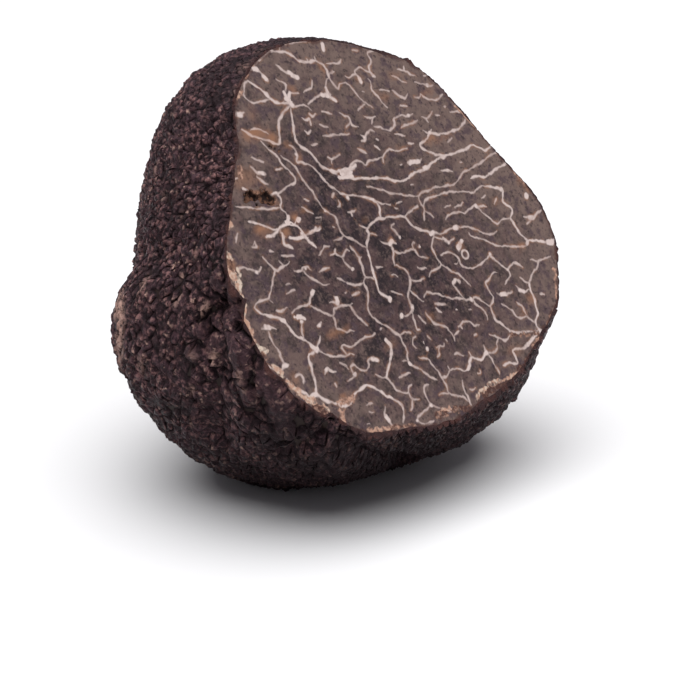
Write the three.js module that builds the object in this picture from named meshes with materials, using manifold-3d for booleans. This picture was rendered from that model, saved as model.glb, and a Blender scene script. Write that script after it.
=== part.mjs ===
// A black truffle opened by one cut of a knife: a lobed lump that grew as one piece, with a warty
// rind, the flat face left by the cut and a small flat spot underneath that it rests on.
// Millimetres, +Z up. The origin is the middle of the resting spot. The cut faces towards -Y and +X.

import * as THREE from 'three';
import { ConvexHull } from 'three/addons/math/ConvexHull.js';
import Module from 'manifold-3d';

const { degToRad, radToDeg, seededRandom } = THREE.MathUtils;

// The middle of the lump, which every radius is measured from
const MIDDLE = new THREE.Vector3(3.1, -1.8, 32.2);

// The cut: how far it is turned from -Y towards +X, how far it tips up, its distance from the middle
const CUT_TURN = degToRad(45);
const CUT_TIP = degToRad(29);
const CUT_DISTANCE = 13;

// The outline left by the cut, in its own plane, evenly spaced from its right-hand side over the top
const CUT_OUTLINE = [
  33.5, 30.8, 29, 28.5, 28.6, 29.1, 29.3, 29.3, 30, 30.8, 31.4, 31.8,
  31.1, 30.2, 27.9, 27.7, 28.5, 30.2, 32.3, 32.5, 32.5, 32.6, 31.9, 31.7,
  30.6, 29.2, 28.9, 28.7, 28.4, 28.7, 29.4, 30.1, 31.3, 33.6, 34.2, 34.9,
];

// Radii of the lump, ring after ring, by their polar angle from the middle of the cut. They are
// spaced as the outline is, so they run over the top, the left side and back underneath.
const RINGS = [
  { polar: 0, radii: [28] },
  { polar: 33, radii: [30] },
  { polar: 66, radii: CUT_OUTLINE.map((radius) => Math.hypot(radius, CUT_DISTANCE)) },
  { polar: 92, radii: [33.6, 31.4, 31.8, 33, 33.8, 30.4, 32, 34, 33.4, 31.4, 34.9, 36] },
  { polar: 118, radii: [33.5, 32, 32.5, 32.5, 31, 28.6, 34.4, 35.5, 34.8, 32.4, 33.6, 34] },
  { polar: 145, radii: [33, 32, 32, 32, 31, 31, 33, 34.5, 34.2, 34, 34, 33.4] },
  { polar: 180, radii: [33] },
];

// Furrows where lobes meet, through directions given as [polar angle, angle round the cut]
const FURROWS = [
  { path: [[71, 186], [75, 185], [82, 200], [97, 214]], width: 2.4, depth: 1.7 }, // down the left
  { path: [[64, 187], [71, 186.5], [77, 185]], width: 0.6, depth: 1.1 }, // a notch where it meets the cut
  { path: [[119, 161], [104, 163], [90, 166], [78, 174], [75, 182]], width: 4, depth: 1.5 }, // the waist
  { path: [[70, 229], [74, 238], [81, 258], [92, 272]], width: 1.8, depth: 1.7 }, // under the front
  { path: [[69, 208.5], [73, 209.5], [80, 212]], width: 1.3, depth: 1 }, // two short ones, from the
  { path: [[63, 225], [74, 226], [84, 224]], width: 0.8, depth: 1.4 }, //   edge of the cut
  { path: [[96, 40], [118, 52], [142, 44], [160, 70]], width: 3.2, depth: 2.2 }, // over the back
  { path: [[82, 338], [104, 345], [130, 5], [146, 30]], width: 2.6, depth: 1.9 }, // round the right
  { path: [[122, 150], [140, 166], [156, 215]], width: 3, depth: 1.8 }, // behind the waist
];
const FURROW_RADIUS = 33; // where the widths of the furrows are measured

// Low swellings over the whole lump: their height, and how closely they follow each other
const SWELL_HEIGHT = 0.35;
const SWELL_RATE = new THREE.Vector3(5.3, 6.1, 4.7);

// Warts: pyramids packed side by side over the rind, with their tips raised above the lump's own
// surface and valleys sunk below it
const WART_COUNT = 2400; // on the whole lump, before the cut
const WART_STRAY = 0.36; // from even spacing, as a share of it
const WART_HEIGHT = 0.65;
const WART_VARIETY = 0.35;
const VALLEY_DEPTH = 0.45;
const WART_SEED = 7;

const BLOCK = 120; // the blocks that cut the lump are larger than it is

const RIND_COLOUR = 0x3a2b2c;

// The cut's own directions: out of it, to its right and up it
const cutOut = new THREE.Vector3(
  Math.cos(CUT_TIP) * Math.sin(CUT_TURN),
  -Math.cos(CUT_TIP) * Math.cos(CUT_TURN),
  Math.sin(CUT_TIP),
);
const cutRight = new THREE.Vector3(0, 0, 1).cross(cutOut).normalize();
const cutUp = cutOut.clone().cross(cutRight);

// A smooth curve through evenly spaced values, between the second and the third of four
function smoothBetween(a, b, c, d, t) {
  return b + (t / 2) * (c - a + t * (2 * a - 5 * b + 4 * c - d + t * (3 * (b - c) + d - a)));
}

function ringRadius({ radii }, round) {
  const place = (round / 360) * radii.length;
  const first = Math.floor(place);
  const at = (step) => radii[(first + step + radii.length) % radii.length];
  return smoothBetween(at(-1), at(0), at(1), at(2), place - first);
}

function smoothRadius(polar, round) {
  const next = RINGS.findIndex((ring, i) => i > 0 && (polar < ring.polar || i === RINGS.length - 1));
  const at = (step) => {
    const ring = RINGS[THREE.MathUtils.clamp(next + step, 0, RINGS.length - 1)];
    return ringRadius(ring, round);
  };
  const t = (polar - RINGS[next - 1].polar) / (RINGS[next].polar - RINGS[next - 1].polar);
  return smoothBetween(at(-2), at(-1), at(0), at(1), t);
}

function towards([polar, round]) {
  const [p, r] = [degToRad(polar), degToRad(round)];
  return cutOut.clone().multiplyScalar(Math.cos(p))
    .addScaledVector(cutRight, Math.sin(p) * Math.cos(r))
    .addScaledVector(cutUp, Math.sin(p) * Math.sin(r));
}

const furrowLines = FURROWS.map(({ path, width, depth }) => {
  const ends = path.map(towards);
  return { width, depth, lines: ends.slice(1).map((end, i) => new THREE.Line3(ends[i], end)) };
});

function furrowDepth(direction) {
  const nearest = new THREE.Vector3();
  let total = 0;
  for (const { width, depth, lines } of furrowLines) {
    const away = Math.min(...lines.map((line) => {
      line.closestPointToPoint(direction, true, nearest);
      return nearest.normalize().distanceTo(direction) * FURROW_RADIUS;
    }));
    total += depth * Math.exp(-((away / width) ** 2));
  }
  return total;
}

function swelling({ x, y, z }) {
  return SWELL_HEIGHT * (Math.sin(SWELL_RATE.x * (x + z)) + Math.sin(SWELL_RATE.y * (y - x))
    + Math.sin(SWELL_RATE.z * (z - y)));
}

function lumpRadius(direction) {
  const polar = radToDeg(cutOut.angleTo(direction));
  const round = radToDeg(Math.atan2(direction.dot(cutUp), direction.dot(cutRight)));
  return smoothRadius(polar, (round + 360) % 360) - furrowDepth(direction) + swelling(direction);
}

function onLump(direction, height) {
  return direction.clone().multiplyScalar(lumpRadius(direction) + height).add(MIDDLE);
}

// Wart tips spread evenly over a ball, in a spiral, and then strayed
function wartDirections() {
  const turn = Math.PI * (3 - Math.sqrt(5));
  const spacing = Math.sqrt((4 * Math.PI) / WART_COUNT);
  const stray = () => (seededRandom() * 2 - 1) * WART_STRAY * spacing;
  return Array.from({ length: WART_COUNT }, (_, i) => {
    const z = 1 - (2 * i + 1) / WART_COUNT;
    const across = Math.sqrt(1 - z * z);
    return new THREE.Vector3(across * Math.cos(turn * i), across * Math.sin(turn * i), z)
      .add(new THREE.Vector3(stray(), stray(), stray()))
      .normalize();
  });
}

// Every wart is a fan of triangles from its tip to the corners where three warts meet
function wartyLump() {
  seededRandom(WART_SEED);
  const tips = wartDirections();
  const hull = new ConvexHull().setFromPoints(tips);
  const points = [];
  const indexOf = new Map();
  for (const tip of tips) {
    indexOf.set(tip, points.length);
    points.push(onLump(tip, WART_HEIGHT * (1 + WART_VARIETY * (seededRandom() * 2 - 1))));
  }
  for (const face of hull.faces) {
    indexOf.set(face, points.length);
    points.push(onLump(face.normal, -VALLEY_DEPTH));
  }
  const triangles = [];
  for (const face of hull.faces) {
    for (const edge of [face.edge, face.edge.next, face.edge.prev]) {
      triangles.push(indexOf.get(edge.head().point), indexOf.get(face), indexOf.get(edge.twin.face));
    }
  }
  return { points, triangles };
}

const manifold = await Module();
manifold.setup();

function solidOf(points, triangles) {
  const mesh = new manifold.Mesh({
    numProp: 3,
    vertProperties: new Float32Array(points.flatMap((point) => point.toArray())),
    triVerts: new Uint32Array(triangles),
  });
  mesh.merge();
  return new manifold.Manifold(mesh);
}

// A block that takes away everything in front of a plane
function cutter(out, pointOnPlane) {
  const box = new THREE.BoxGeometry(BLOCK, BLOCK, BLOCK);
  box.translate(0, 0, BLOCK / 2);
  box.applyQuaternion(new THREE.Quaternion().setFromUnitVectors(new THREE.Vector3(0, 0, 1), out));
  box.translate(...pointOnPlane.toArray());
  const corners = box.getAttribute('position');
  const points = Array.from({ length: corners.count }, (_, i) =>
    new THREE.Vector3().fromBufferAttribute(corners, i));
  return solidOf(points, Array.from(box.getIndex().array));
}

function meshOf(solid, name, colour) {
  const { vertProperties, triVerts } = solid.getMesh();
  const geometry = new THREE.BufferGeometry();
  geometry.setAttribute('position', new THREE.BufferAttribute(vertProperties, 3));
  geometry.setIndex(new THREE.BufferAttribute(triVerts, 1));
  geometry.computeVertexNormals();
  const material = new THREE.MeshStandardMaterial({ color: colour, roughness: 0.9 });
  const mesh = new THREE.Mesh(geometry, material);
  mesh.name = name;
  return mesh;
}

const { points, triangles } = wartyLump();
const truffle = solidOf(points, triangles)
  .subtract(cutter(cutOut, MIDDLE.clone().addScaledVector(cutOut, CUT_DISTANCE)))
  .subtract(cutter(new THREE.Vector3(0, 0, -1), new THREE.Vector3()));

const part = new THREE.Group();
part.name = 'black_truffle';
part.add(meshOf(truffle, 'truffle', RIND_COLOUR));

export default part;
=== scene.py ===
import math

import bpy
import numpy as np
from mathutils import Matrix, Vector, noise
from mathutils.geometry import delaunay_2d_cdt
from mathutils.kdtree import KDTree


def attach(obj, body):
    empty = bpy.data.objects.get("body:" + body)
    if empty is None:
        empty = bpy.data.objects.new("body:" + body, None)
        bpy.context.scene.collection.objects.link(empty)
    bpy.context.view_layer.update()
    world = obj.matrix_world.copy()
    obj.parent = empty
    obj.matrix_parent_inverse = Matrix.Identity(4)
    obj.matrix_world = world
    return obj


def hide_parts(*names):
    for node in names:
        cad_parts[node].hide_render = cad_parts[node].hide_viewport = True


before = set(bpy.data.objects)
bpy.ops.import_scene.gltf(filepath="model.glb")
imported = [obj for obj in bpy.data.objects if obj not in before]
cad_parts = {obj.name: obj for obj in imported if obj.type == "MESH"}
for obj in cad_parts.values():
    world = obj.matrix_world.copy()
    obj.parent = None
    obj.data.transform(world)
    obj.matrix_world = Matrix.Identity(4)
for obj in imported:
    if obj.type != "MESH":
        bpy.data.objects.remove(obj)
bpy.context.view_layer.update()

# ---------------------------------------------------------------------------------------------
# The lump. A truffle swells underground into a round mass with a few lobes, and furrows stay
# where the lobes meet. Sizes are in millimetres from its middle and become metres in the mesh.
# ---------------------------------------------------------------------------------------------
MM = 0.001
MIDDLE = np.array([3.1, -1.8, 32.2])

# The knife's cut: its turn from -Y towards +X, how far it tips up, its distance from the middle
CUT_TURN = math.radians(45)
CUT_TIP = math.radians(29)
CUT_DISTANCE = 13.0
cut_out = np.array([math.cos(CUT_TIP) * math.sin(CUT_TURN),
                    -math.cos(CUT_TIP) * math.cos(CUT_TURN),
                    math.sin(CUT_TIP)])
cut_right = np.cross([0, 0, 1], cut_out) / math.cos(CUT_TIP)
cut_up = np.cross(cut_out, cut_right)

# The outline of the cut, from its right-hand side over the top, and then ring after ring of the
# lump's radii by their angle from the middle of the cut
CUT_OUTLINE = [33.5, 30.8, 29, 28.5, 28.6, 29.1, 29.3, 29.3, 30, 30.8, 31.4, 31.8,
               31.1, 30.2, 27.9, 27.7, 28.5, 30.2, 32.3, 32.5, 32.5, 32.6, 31.9, 31.7,
               30.6, 29.2, 28.9, 28.7, 28.4, 28.7, 29.4, 30.1, 31.3, 33.6, 34.2, 34.9]
RINGS = {
    0: [28],
    33: [30],
    66: [math.hypot(radius, CUT_DISTANCE) for radius in CUT_OUTLINE],
    92: [33.6, 31.4, 31.8, 33, 33.8, 30.4, 32, 34, 33.4, 31.4, 34.9, 36],
    118: [33.5, 32, 32.5, 32.5, 31, 28.6, 34.4, 35.5, 34.8, 32.4, 33.6, 34],
    145: [33, 32, 32, 32, 31, 31, 33, 34.5, 34.2, 34, 34, 33.4],
    180: [33],
}

# Furrows through directions given as (angle from the cut's middle, angle round it), width, depth
FURROWS = [
    ([(71, 186), (75, 185), (82, 200), (97, 214)], 2.4, 1.7),
    ([(64, 187), (71, 186.5), (77, 185)], 0.6, 1.1),
    ([(119, 161), (104, 163), (90, 166), (78, 174), (75, 182)], 4.0, 1.5),
    ([(70, 229), (74, 238), (81, 258), (92, 272)], 1.8, 1.7),
    ([(69, 208.5), (73, 209.5), (80, 212)], 1.3, 1.0),
    ([(63, 225), (74, 226), (84, 224)], 0.8, 1.4),
    ([(96, 40), (118, 52), (142, 44), (160, 70)], 3.2, 2.2),
    ([(82, 338), (104, 345), (130, 5), (146, 30)], 2.6, 1.9),
    ([(122, 150), (140, 166), (156, 215)], 3.0, 1.8),
]
FURROW_RADIUS = 33.0
SWELL_HEIGHT = 0.35
SWELL_RATE = (5.3, 6.1, 4.7)


def towards(polar, around):
    """The direction at an angle from the cut's middle and an angle round it, in degrees."""
    polar, around = math.radians(polar), math.radians(around)
    across = math.cos(around) * cut_right + math.sin(around) * cut_up
    return math.cos(polar) * cut_out + math.sin(polar) * across


def smooth_between(a, b, c, d, t):
    """A smooth curve through evenly spaced values, between the second and the third of four."""
    return b + t / 2 * (c - a + t * (2 * a - 5 * b + 4 * c - d + t * (3 * (b - c) + d - a)))


def ring_radius(radii, around):
    """The radius on one ring at each angle round it, in degrees."""
    place = around / 360 * len(radii)
    first = np.floor(place).astype(int)
    near = [np.take(radii, first + step, mode="wrap") for step in (-1, 0, 1, 2)]
    return smooth_between(*near, place - first)


def furrow_depth(directions, path, width, depth):
    """Depth of one furrow in each direction, deepest along its path."""
    ends = [towards(*end) for end in path]
    away = np.full(len(directions), np.inf)
    for start, end in zip(ends, ends[1:]):
        run = end - start
        t = np.clip((directions - start) @ run / (run @ run), 0, 1)
        nearest = start + t[:, None] * run
        nearest /= np.linalg.norm(nearest, axis=1)[:, None]
        away = np.minimum(away, np.linalg.norm(directions - nearest, axis=1) * FURROW_RADIUS)
    return depth * np.exp(-(away / width) ** 2)


def lump_radius(directions):
    """Radius of the lump without its warts, in each direction from its middle."""
    polar = np.degrees(np.arccos(np.clip(directions @ cut_out, -1, 1)))
    around = np.degrees(np.arctan2(directions @ cut_up, directions @ cut_right)) % 360
    polars = np.array(list(RINGS), float)
    on_rings = np.array([ring_radius(radii, around) for radii in RINGS.values()])
    last = len(polars) - 1
    after = np.clip(np.searchsorted(polars, polar, side="right"), 1, last)
    each = np.arange(len(polar))
    near = [on_rings[np.clip(after + step, 0, last), each] for step in (-2, -1, 0, 1)]
    radius = smooth_between(*near, (polar - polars[after - 1]) / (polars[after] - polars[after - 1]))
    x, y, z = directions.T
    a, b, c = SWELL_RATE
    radius += SWELL_HEIGHT * (np.sin(a * (x + z)) + np.sin(b * (y - x)) + np.sin(c * (z - y)))
    return radius - sum(furrow_depth(directions, *furrow) for furrow in FURROWS)


def vertex_places(mesh):
    places = np.empty(len(mesh.vertices) * 3)
    mesh.vertices.foreach_get("co", places)
    return places.reshape(-1, 3)


def read_points(mesh):
    """The mesh's points in millimetres from the middle of the lump."""
    return vertex_places(mesh) / MM - MIDDLE


def write_points(mesh, points):
    mesh.vertices.foreach_set("co", ((points + MIDDLE) * MM).ravel())
    mesh.update()


# ---------------------------------------------------------------------------------------------
# The rind. The whole lump is packed with hard little knobs, the warts, which are larger and
# longer on the bulging front. Each fills one cell of a net: steep sides, a shoulder and a tip.
# ---------------------------------------------------------------------------------------------
WART_COUNT = 9300
WART_STRAY = 0.45
WART_STRETCH = 1.3
LARGE_WARTS_AT = (80, 208)
LARGE_WARTS_SPREAD = 0.7
LARGE_WARTS_GAIN = 0.3
VALLEY_DEPTH = 0.3
VALLEY_UNEVEN = (-1.5, -0.1)
SHOULDER_SHARE = 0.62
SHOULDER_ROUNDNESS = 0.6
SHOULDER_HEIGHT = 0.08
TIP_HEIGHT = 0.21
WART_VARIETY = 0.5
WART_UNEVEN = 0.18
DENT_SIZE = 1.1
DENT_DEPTH = 0.3
SWELLING_SIZE = 3.2
SWELLING_DEPTH = 0.4
RIND_THICKNESS = 0.5
RIND_VARIETY = 0.35
RIND_VARIETY_SIZE = 2.2
# No warts are laid where the knife takes everything off
OPEN_ABOVE = 0.95
GOLDEN_TURN = math.pi * (3 - math.sqrt(5))
TINY = 1e-9

# Towards the upper right of the cut the rind thins out and its warts are low
THIN_TOWARDS = 50
THIN_POLAR = 66
THIN_REACH = 14
THIN_SINK = 0.3
THIN_LOW = 0.65
THIN_HALF_WAY = 0.5
THIN_SWING = 0.8

random = np.random.default_rng(11)


def stretched(directions):
    """Cells drawn out up and down, and enlarged round the bulging front."""
    directions = directions * [1, 1, WART_STRETCH]
    directions /= np.linalg.norm(directions, axis=1)[:, None]
    large = towards(*LARGE_WARTS_AT)
    angle = np.arccos(np.clip(directions @ large, -1, 1))
    aside = directions - (directions @ large)[:, None] * large
    aside /= np.maximum(np.linalg.norm(aside, axis=1), TINY)[:, None]
    wider = angle * (1 + LARGE_WARTS_GAIN * np.exp(-(angle / LARGE_WARTS_SPREAD) ** 2))
    return np.cos(wider)[:, None] * large + np.sin(wider)[:, None] * aside


def wart_cells():
    """Directions of the wart tips and of the corners between them, and each tip's corners in order."""
    step = np.arange(WART_COUNT)
    out = 1 - (2 * step + 1) / WART_COUNT
    turn = GOLDEN_TURN * step
    aside = np.sqrt(1 - out * out)
    tips = np.stack([aside * np.cos(turn), aside * np.sin(turn), out], 1)
    spacing = math.sqrt(4 * math.pi / WART_COUNT)
    tips += random.uniform(-1, 1, tips.shape) * WART_STRAY * spacing
    tips /= np.linalg.norm(tips, axis=1)[:, None]
    tips = tips @ np.array([cut_right, cut_up, cut_out])

    # Seen from the middle of the cut, the round net lies flat and keeps its circles, so the flat
    # net of triangles over it is the round one too. The cells at its outer rim are cut off later.
    flat = tips @ np.array([cut_right, cut_up]).T / (1 - tips @ cut_out)[:, None]
    places = [Vector(place) for place in flat]
    _, _, triangles, origins, _, _ = delaunay_2d_cdt(places, [], [], 0, TINY)
    triangles = np.array([[origins[corner][0] for corner in triangle] for triangle in triangles])
    first, second, third = (tips[triangles[:, corner]] for corner in range(3))
    corners = np.cross(second - first, third - first)
    corners *= np.sign((corners * first).sum(axis=1))[:, None]
    corners /= np.linalg.norm(corners, axis=1)[:, None]
    around = [[] for _ in tips]
    for number, triangle in enumerate(triangles):
        for tip in triangle:
            around[tip].append(number)
    kept, cells = [], []
    for number, (tip, numbers) in enumerate(zip(tips, around)):
        if tip @ cut_out > OPEN_ABOVE:
            continue
        side = np.cross(cut_up, tip)
        side /= np.linalg.norm(side)
        offsets = corners[numbers]
        turns = np.arctan2(offsets @ np.cross(tip, side), offsets @ side)
        kept.append(number)
        cells.append([numbers[place] for place in np.argsort(turns)])
    return stretched(tips[kept]), stretched(corners), cells


def new_skin(name, directions, radii, faces):
    """A closed mesh over the faces, with each direction's point at its radius."""
    bpy.ops.object.select_all(action="DESELECT")
    skin = bpy.data.objects.new(name, bpy.data.meshes.new(name))
    bpy.context.collection.objects.link(skin)
    skin.data.from_pydata(directions.tolist(), [], faces)
    write_points(skin.data, directions * radii[:, None])
    bpy.context.view_layer.objects.active = skin
    skin.select_set(True)
    bpy.ops.object.mode_set(mode="EDIT")
    bpy.ops.mesh.select_all(action="SELECT")
    bpy.ops.mesh.delete_loose()
    bpy.ops.mesh.select_mode(type="EDGE")
    bpy.ops.mesh.select_all(action="DESELECT")
    bpy.ops.mesh.select_non_manifold()
    bpy.ops.mesh.edge_face_add()
    bpy.ops.mesh.select_all(action="SELECT")
    bpy.ops.mesh.normals_make_consistent(inside=False)
    bpy.ops.mesh.select_mode(type="VERT")
    bpy.ops.object.mode_set(mode="OBJECT")
    return skin


def dents(directions, size, depth):
    """Hollows and swellings of about the given size all over, in millimetres."""
    return np.array([depth * noise.noise(Vector(direction) * FURROW_RADIUS / size)
                     for direction in directions])


def thin_share(directions):
    """1 where the rind is thinnest, and 0 where it is as thick as elsewhere."""
    polar = np.degrees(np.arccos(np.clip(directions @ cut_out, -1, 1)))
    around = np.arctan2(directions @ cut_up, directions @ cut_right) - math.radians(THIN_TOWARDS)
    on_this_side = np.clip(THIN_HALF_WAY + THIN_SWING * np.cos(around), 0, 1)
    return np.exp(-((polar - THIN_POLAR) / THIN_REACH) ** 2) * on_this_side


def flesh_radius(directions):
    """The rind is thicker in some places than in others."""
    variety = dents(directions, RIND_VARIETY_SIZE, RIND_VARIETY)
    return lump_radius(directions) - RIND_THICKNESS + variety


tips, corners, cells = wart_cells()
flesh = new_skin("flesh", corners, flesh_radius(corners), cells)

# Shoulders lie between the corners and the tip, drawn in to a rounder shape, and rise by as much
# as their wart is tall. Growth has left every one of them a little uneven.
shoulders, lifts, faces = [], [], []
tall = 1 + WART_VARIETY * random.uniform(-1, 1, len(tips))
first_shoulder = len(corners)
first_tip = first_shoulder + sum(len(cell) for cell in cells)
for number, (tip, cell) in enumerate(zip(tips, cells)):
    reach = corners[cell] - tip
    lengths = np.linalg.norm(reach, axis=1)
    rounder = 1 + SHOULDER_ROUNDNESS * (lengths.mean() / lengths - 1)
    ring = first_shoulder + len(lifts)
    shoulders.append(tip + reach * (SHOULDER_SHARE * rounder)[:, None])
    uneven = random.uniform(-WART_UNEVEN, WART_UNEVEN, len(cell))
    lifts.extend(SHOULDER_HEIGHT * tall[number] + uneven)
    for place in range(len(cell)):
        after = (place + 1) % len(cell)
        faces.append((cell[place], cell[after], ring + after, ring + place))
        faces.append((ring + place, ring + after, first_tip + number))
shoulders = np.concatenate(shoulders)
shoulders /= np.linalg.norm(shoulders, axis=1)[:, None]
valley_lifts = VALLEY_DEPTH * random.uniform(*VALLEY_UNEVEN, len(corners))
tip_lifts = TIP_HEIGHT * tall + random.uniform(-WART_UNEVEN, WART_UNEVEN, len(tips))
grown = np.concatenate([corners, shoulders, tips])
lifts = np.concatenate([valley_lifts, lifts, tip_lifts]) + dents(grown, DENT_SIZE, DENT_DEPTH)
lifts += dents(grown, SWELLING_SIZE, SWELLING_DEPTH)
thin = thin_share(grown)
radii = lump_radius(grown) + lifts * (1 - THIN_LOW * thin) - THIN_SINK * thin
rind = new_skin("rind", grown, radii, faces)

# Some warts by the crease on the left are much larger and smoother than the rest, taller than
# broad, with a dark groove round them: polar angle, angle round, half their breadth and height.
LARGE_WARTS = [
    (70.5, 188, 1.5, 0.7), (72, 191.5, 0.9, 0.4), (76.5, 188, 0.8, 0.6), (72, 197, 1.7, 0.9),
    (79.5, 193, 1.0, 0.6), (81, 189, 0.9, 0.6), (79, 184.5, 0.6, 0.5), (82, 197.5, 0.8, 0.7),
    (75.5, 202, 1.1, 0.6), (71, 207.5, 1.7, 0.7), (72, 213.5, 1.8, 0.6), (71, 179.5, 1.2, 0.8),
    (67.5, 183, 0.9, 0.6), (84.5, 204.5, 1.1, 0.5), (86.5, 192, 1.0, 0.5), (77, 208, 1.2, 0.5),
    (76, 219, 1.4, 0.5), (84, 180, 0.8, 0.4), (89, 198, 0.9, 0.4),
]
LARGE_WART_EDGE = 1.15
LARGE_WART_TALLER = 1.45
LARGE_WART_SMOOTH = 0.6
SMOOTH_STEEPNESS = 2
LARGE_WART_GAIN = 1.35
LARGE_WART_GROOVE = 0.6
GROOVE_WIDTH = 0.26

# One crumb stands out of the upper edge: polar angle, angle round, half its breadth and its height
CRUMB = (66, 56, 0.7, 1.0)
CRUMB_EDGE = 1.2


def from_place(directions, polar, around, taller):
    """Distance of each direction from a place on the rind, in millimetres, shorter up and down."""
    offsets = (directions - towards(polar, around)) * FURROW_RADIUS
    upward = offsets[:, 2] / taller
    level = np.linalg.norm(offsets[:, :2], axis=1)
    return np.hypot(level, upward)


def from_large_warts(directions):
    """Distance from the middle of each large wart, as a share of its half breadth."""
    return np.array([from_place(directions, polar, around, LARGE_WART_TALLER) / half
                     for polar, around, half, _ in LARGE_WARTS])


def within_large_warts(directions):
    """A dome over each large wart: 1 in its middle, 0 outside it."""
    return np.sqrt(np.clip(1 - (from_large_warts(directions) / LARGE_WART_EDGE) ** 2, 0, 1))


def smooth_share(directions):
    """1 on the large warts, 0 away from them."""
    return np.clip(SMOOTH_STEEPNESS * within_large_warts(directions).max(axis=0), 0, 1)


def groove_share(directions):
    """1 along the dark grooves round the large warts, 0 away from them."""
    from_edge = from_large_warts(directions) - LARGE_WART_EDGE
    grooves = np.exp(-(from_edge / GROOVE_WIDTH) ** 2).max(axis=0)
    return grooves * (1 - smooth_share(directions))


points = read_points(rind.data)
radii = np.linalg.norm(points, axis=1)
directions = points / radii[:, None]
relief = radii - lump_radius(directions)
heights = np.array([[height] for *_, height in LARGE_WARTS])
lifts = LARGE_WART_GAIN * (within_large_warts(directions) * heights).max(axis=0)
smoothed = LARGE_WART_SMOOTH * smooth_share(directions) * relief
lifts -= smoothed + LARGE_WART_GROOVE * groove_share(directions)
polar, around, half, height = CRUMB
lifts += height * np.clip(CRUMB_EDGE - from_place(directions, polar, around, 1) / half, 0, 1)
write_points(rind.data, points + directions * lifts[:, None])

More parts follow.
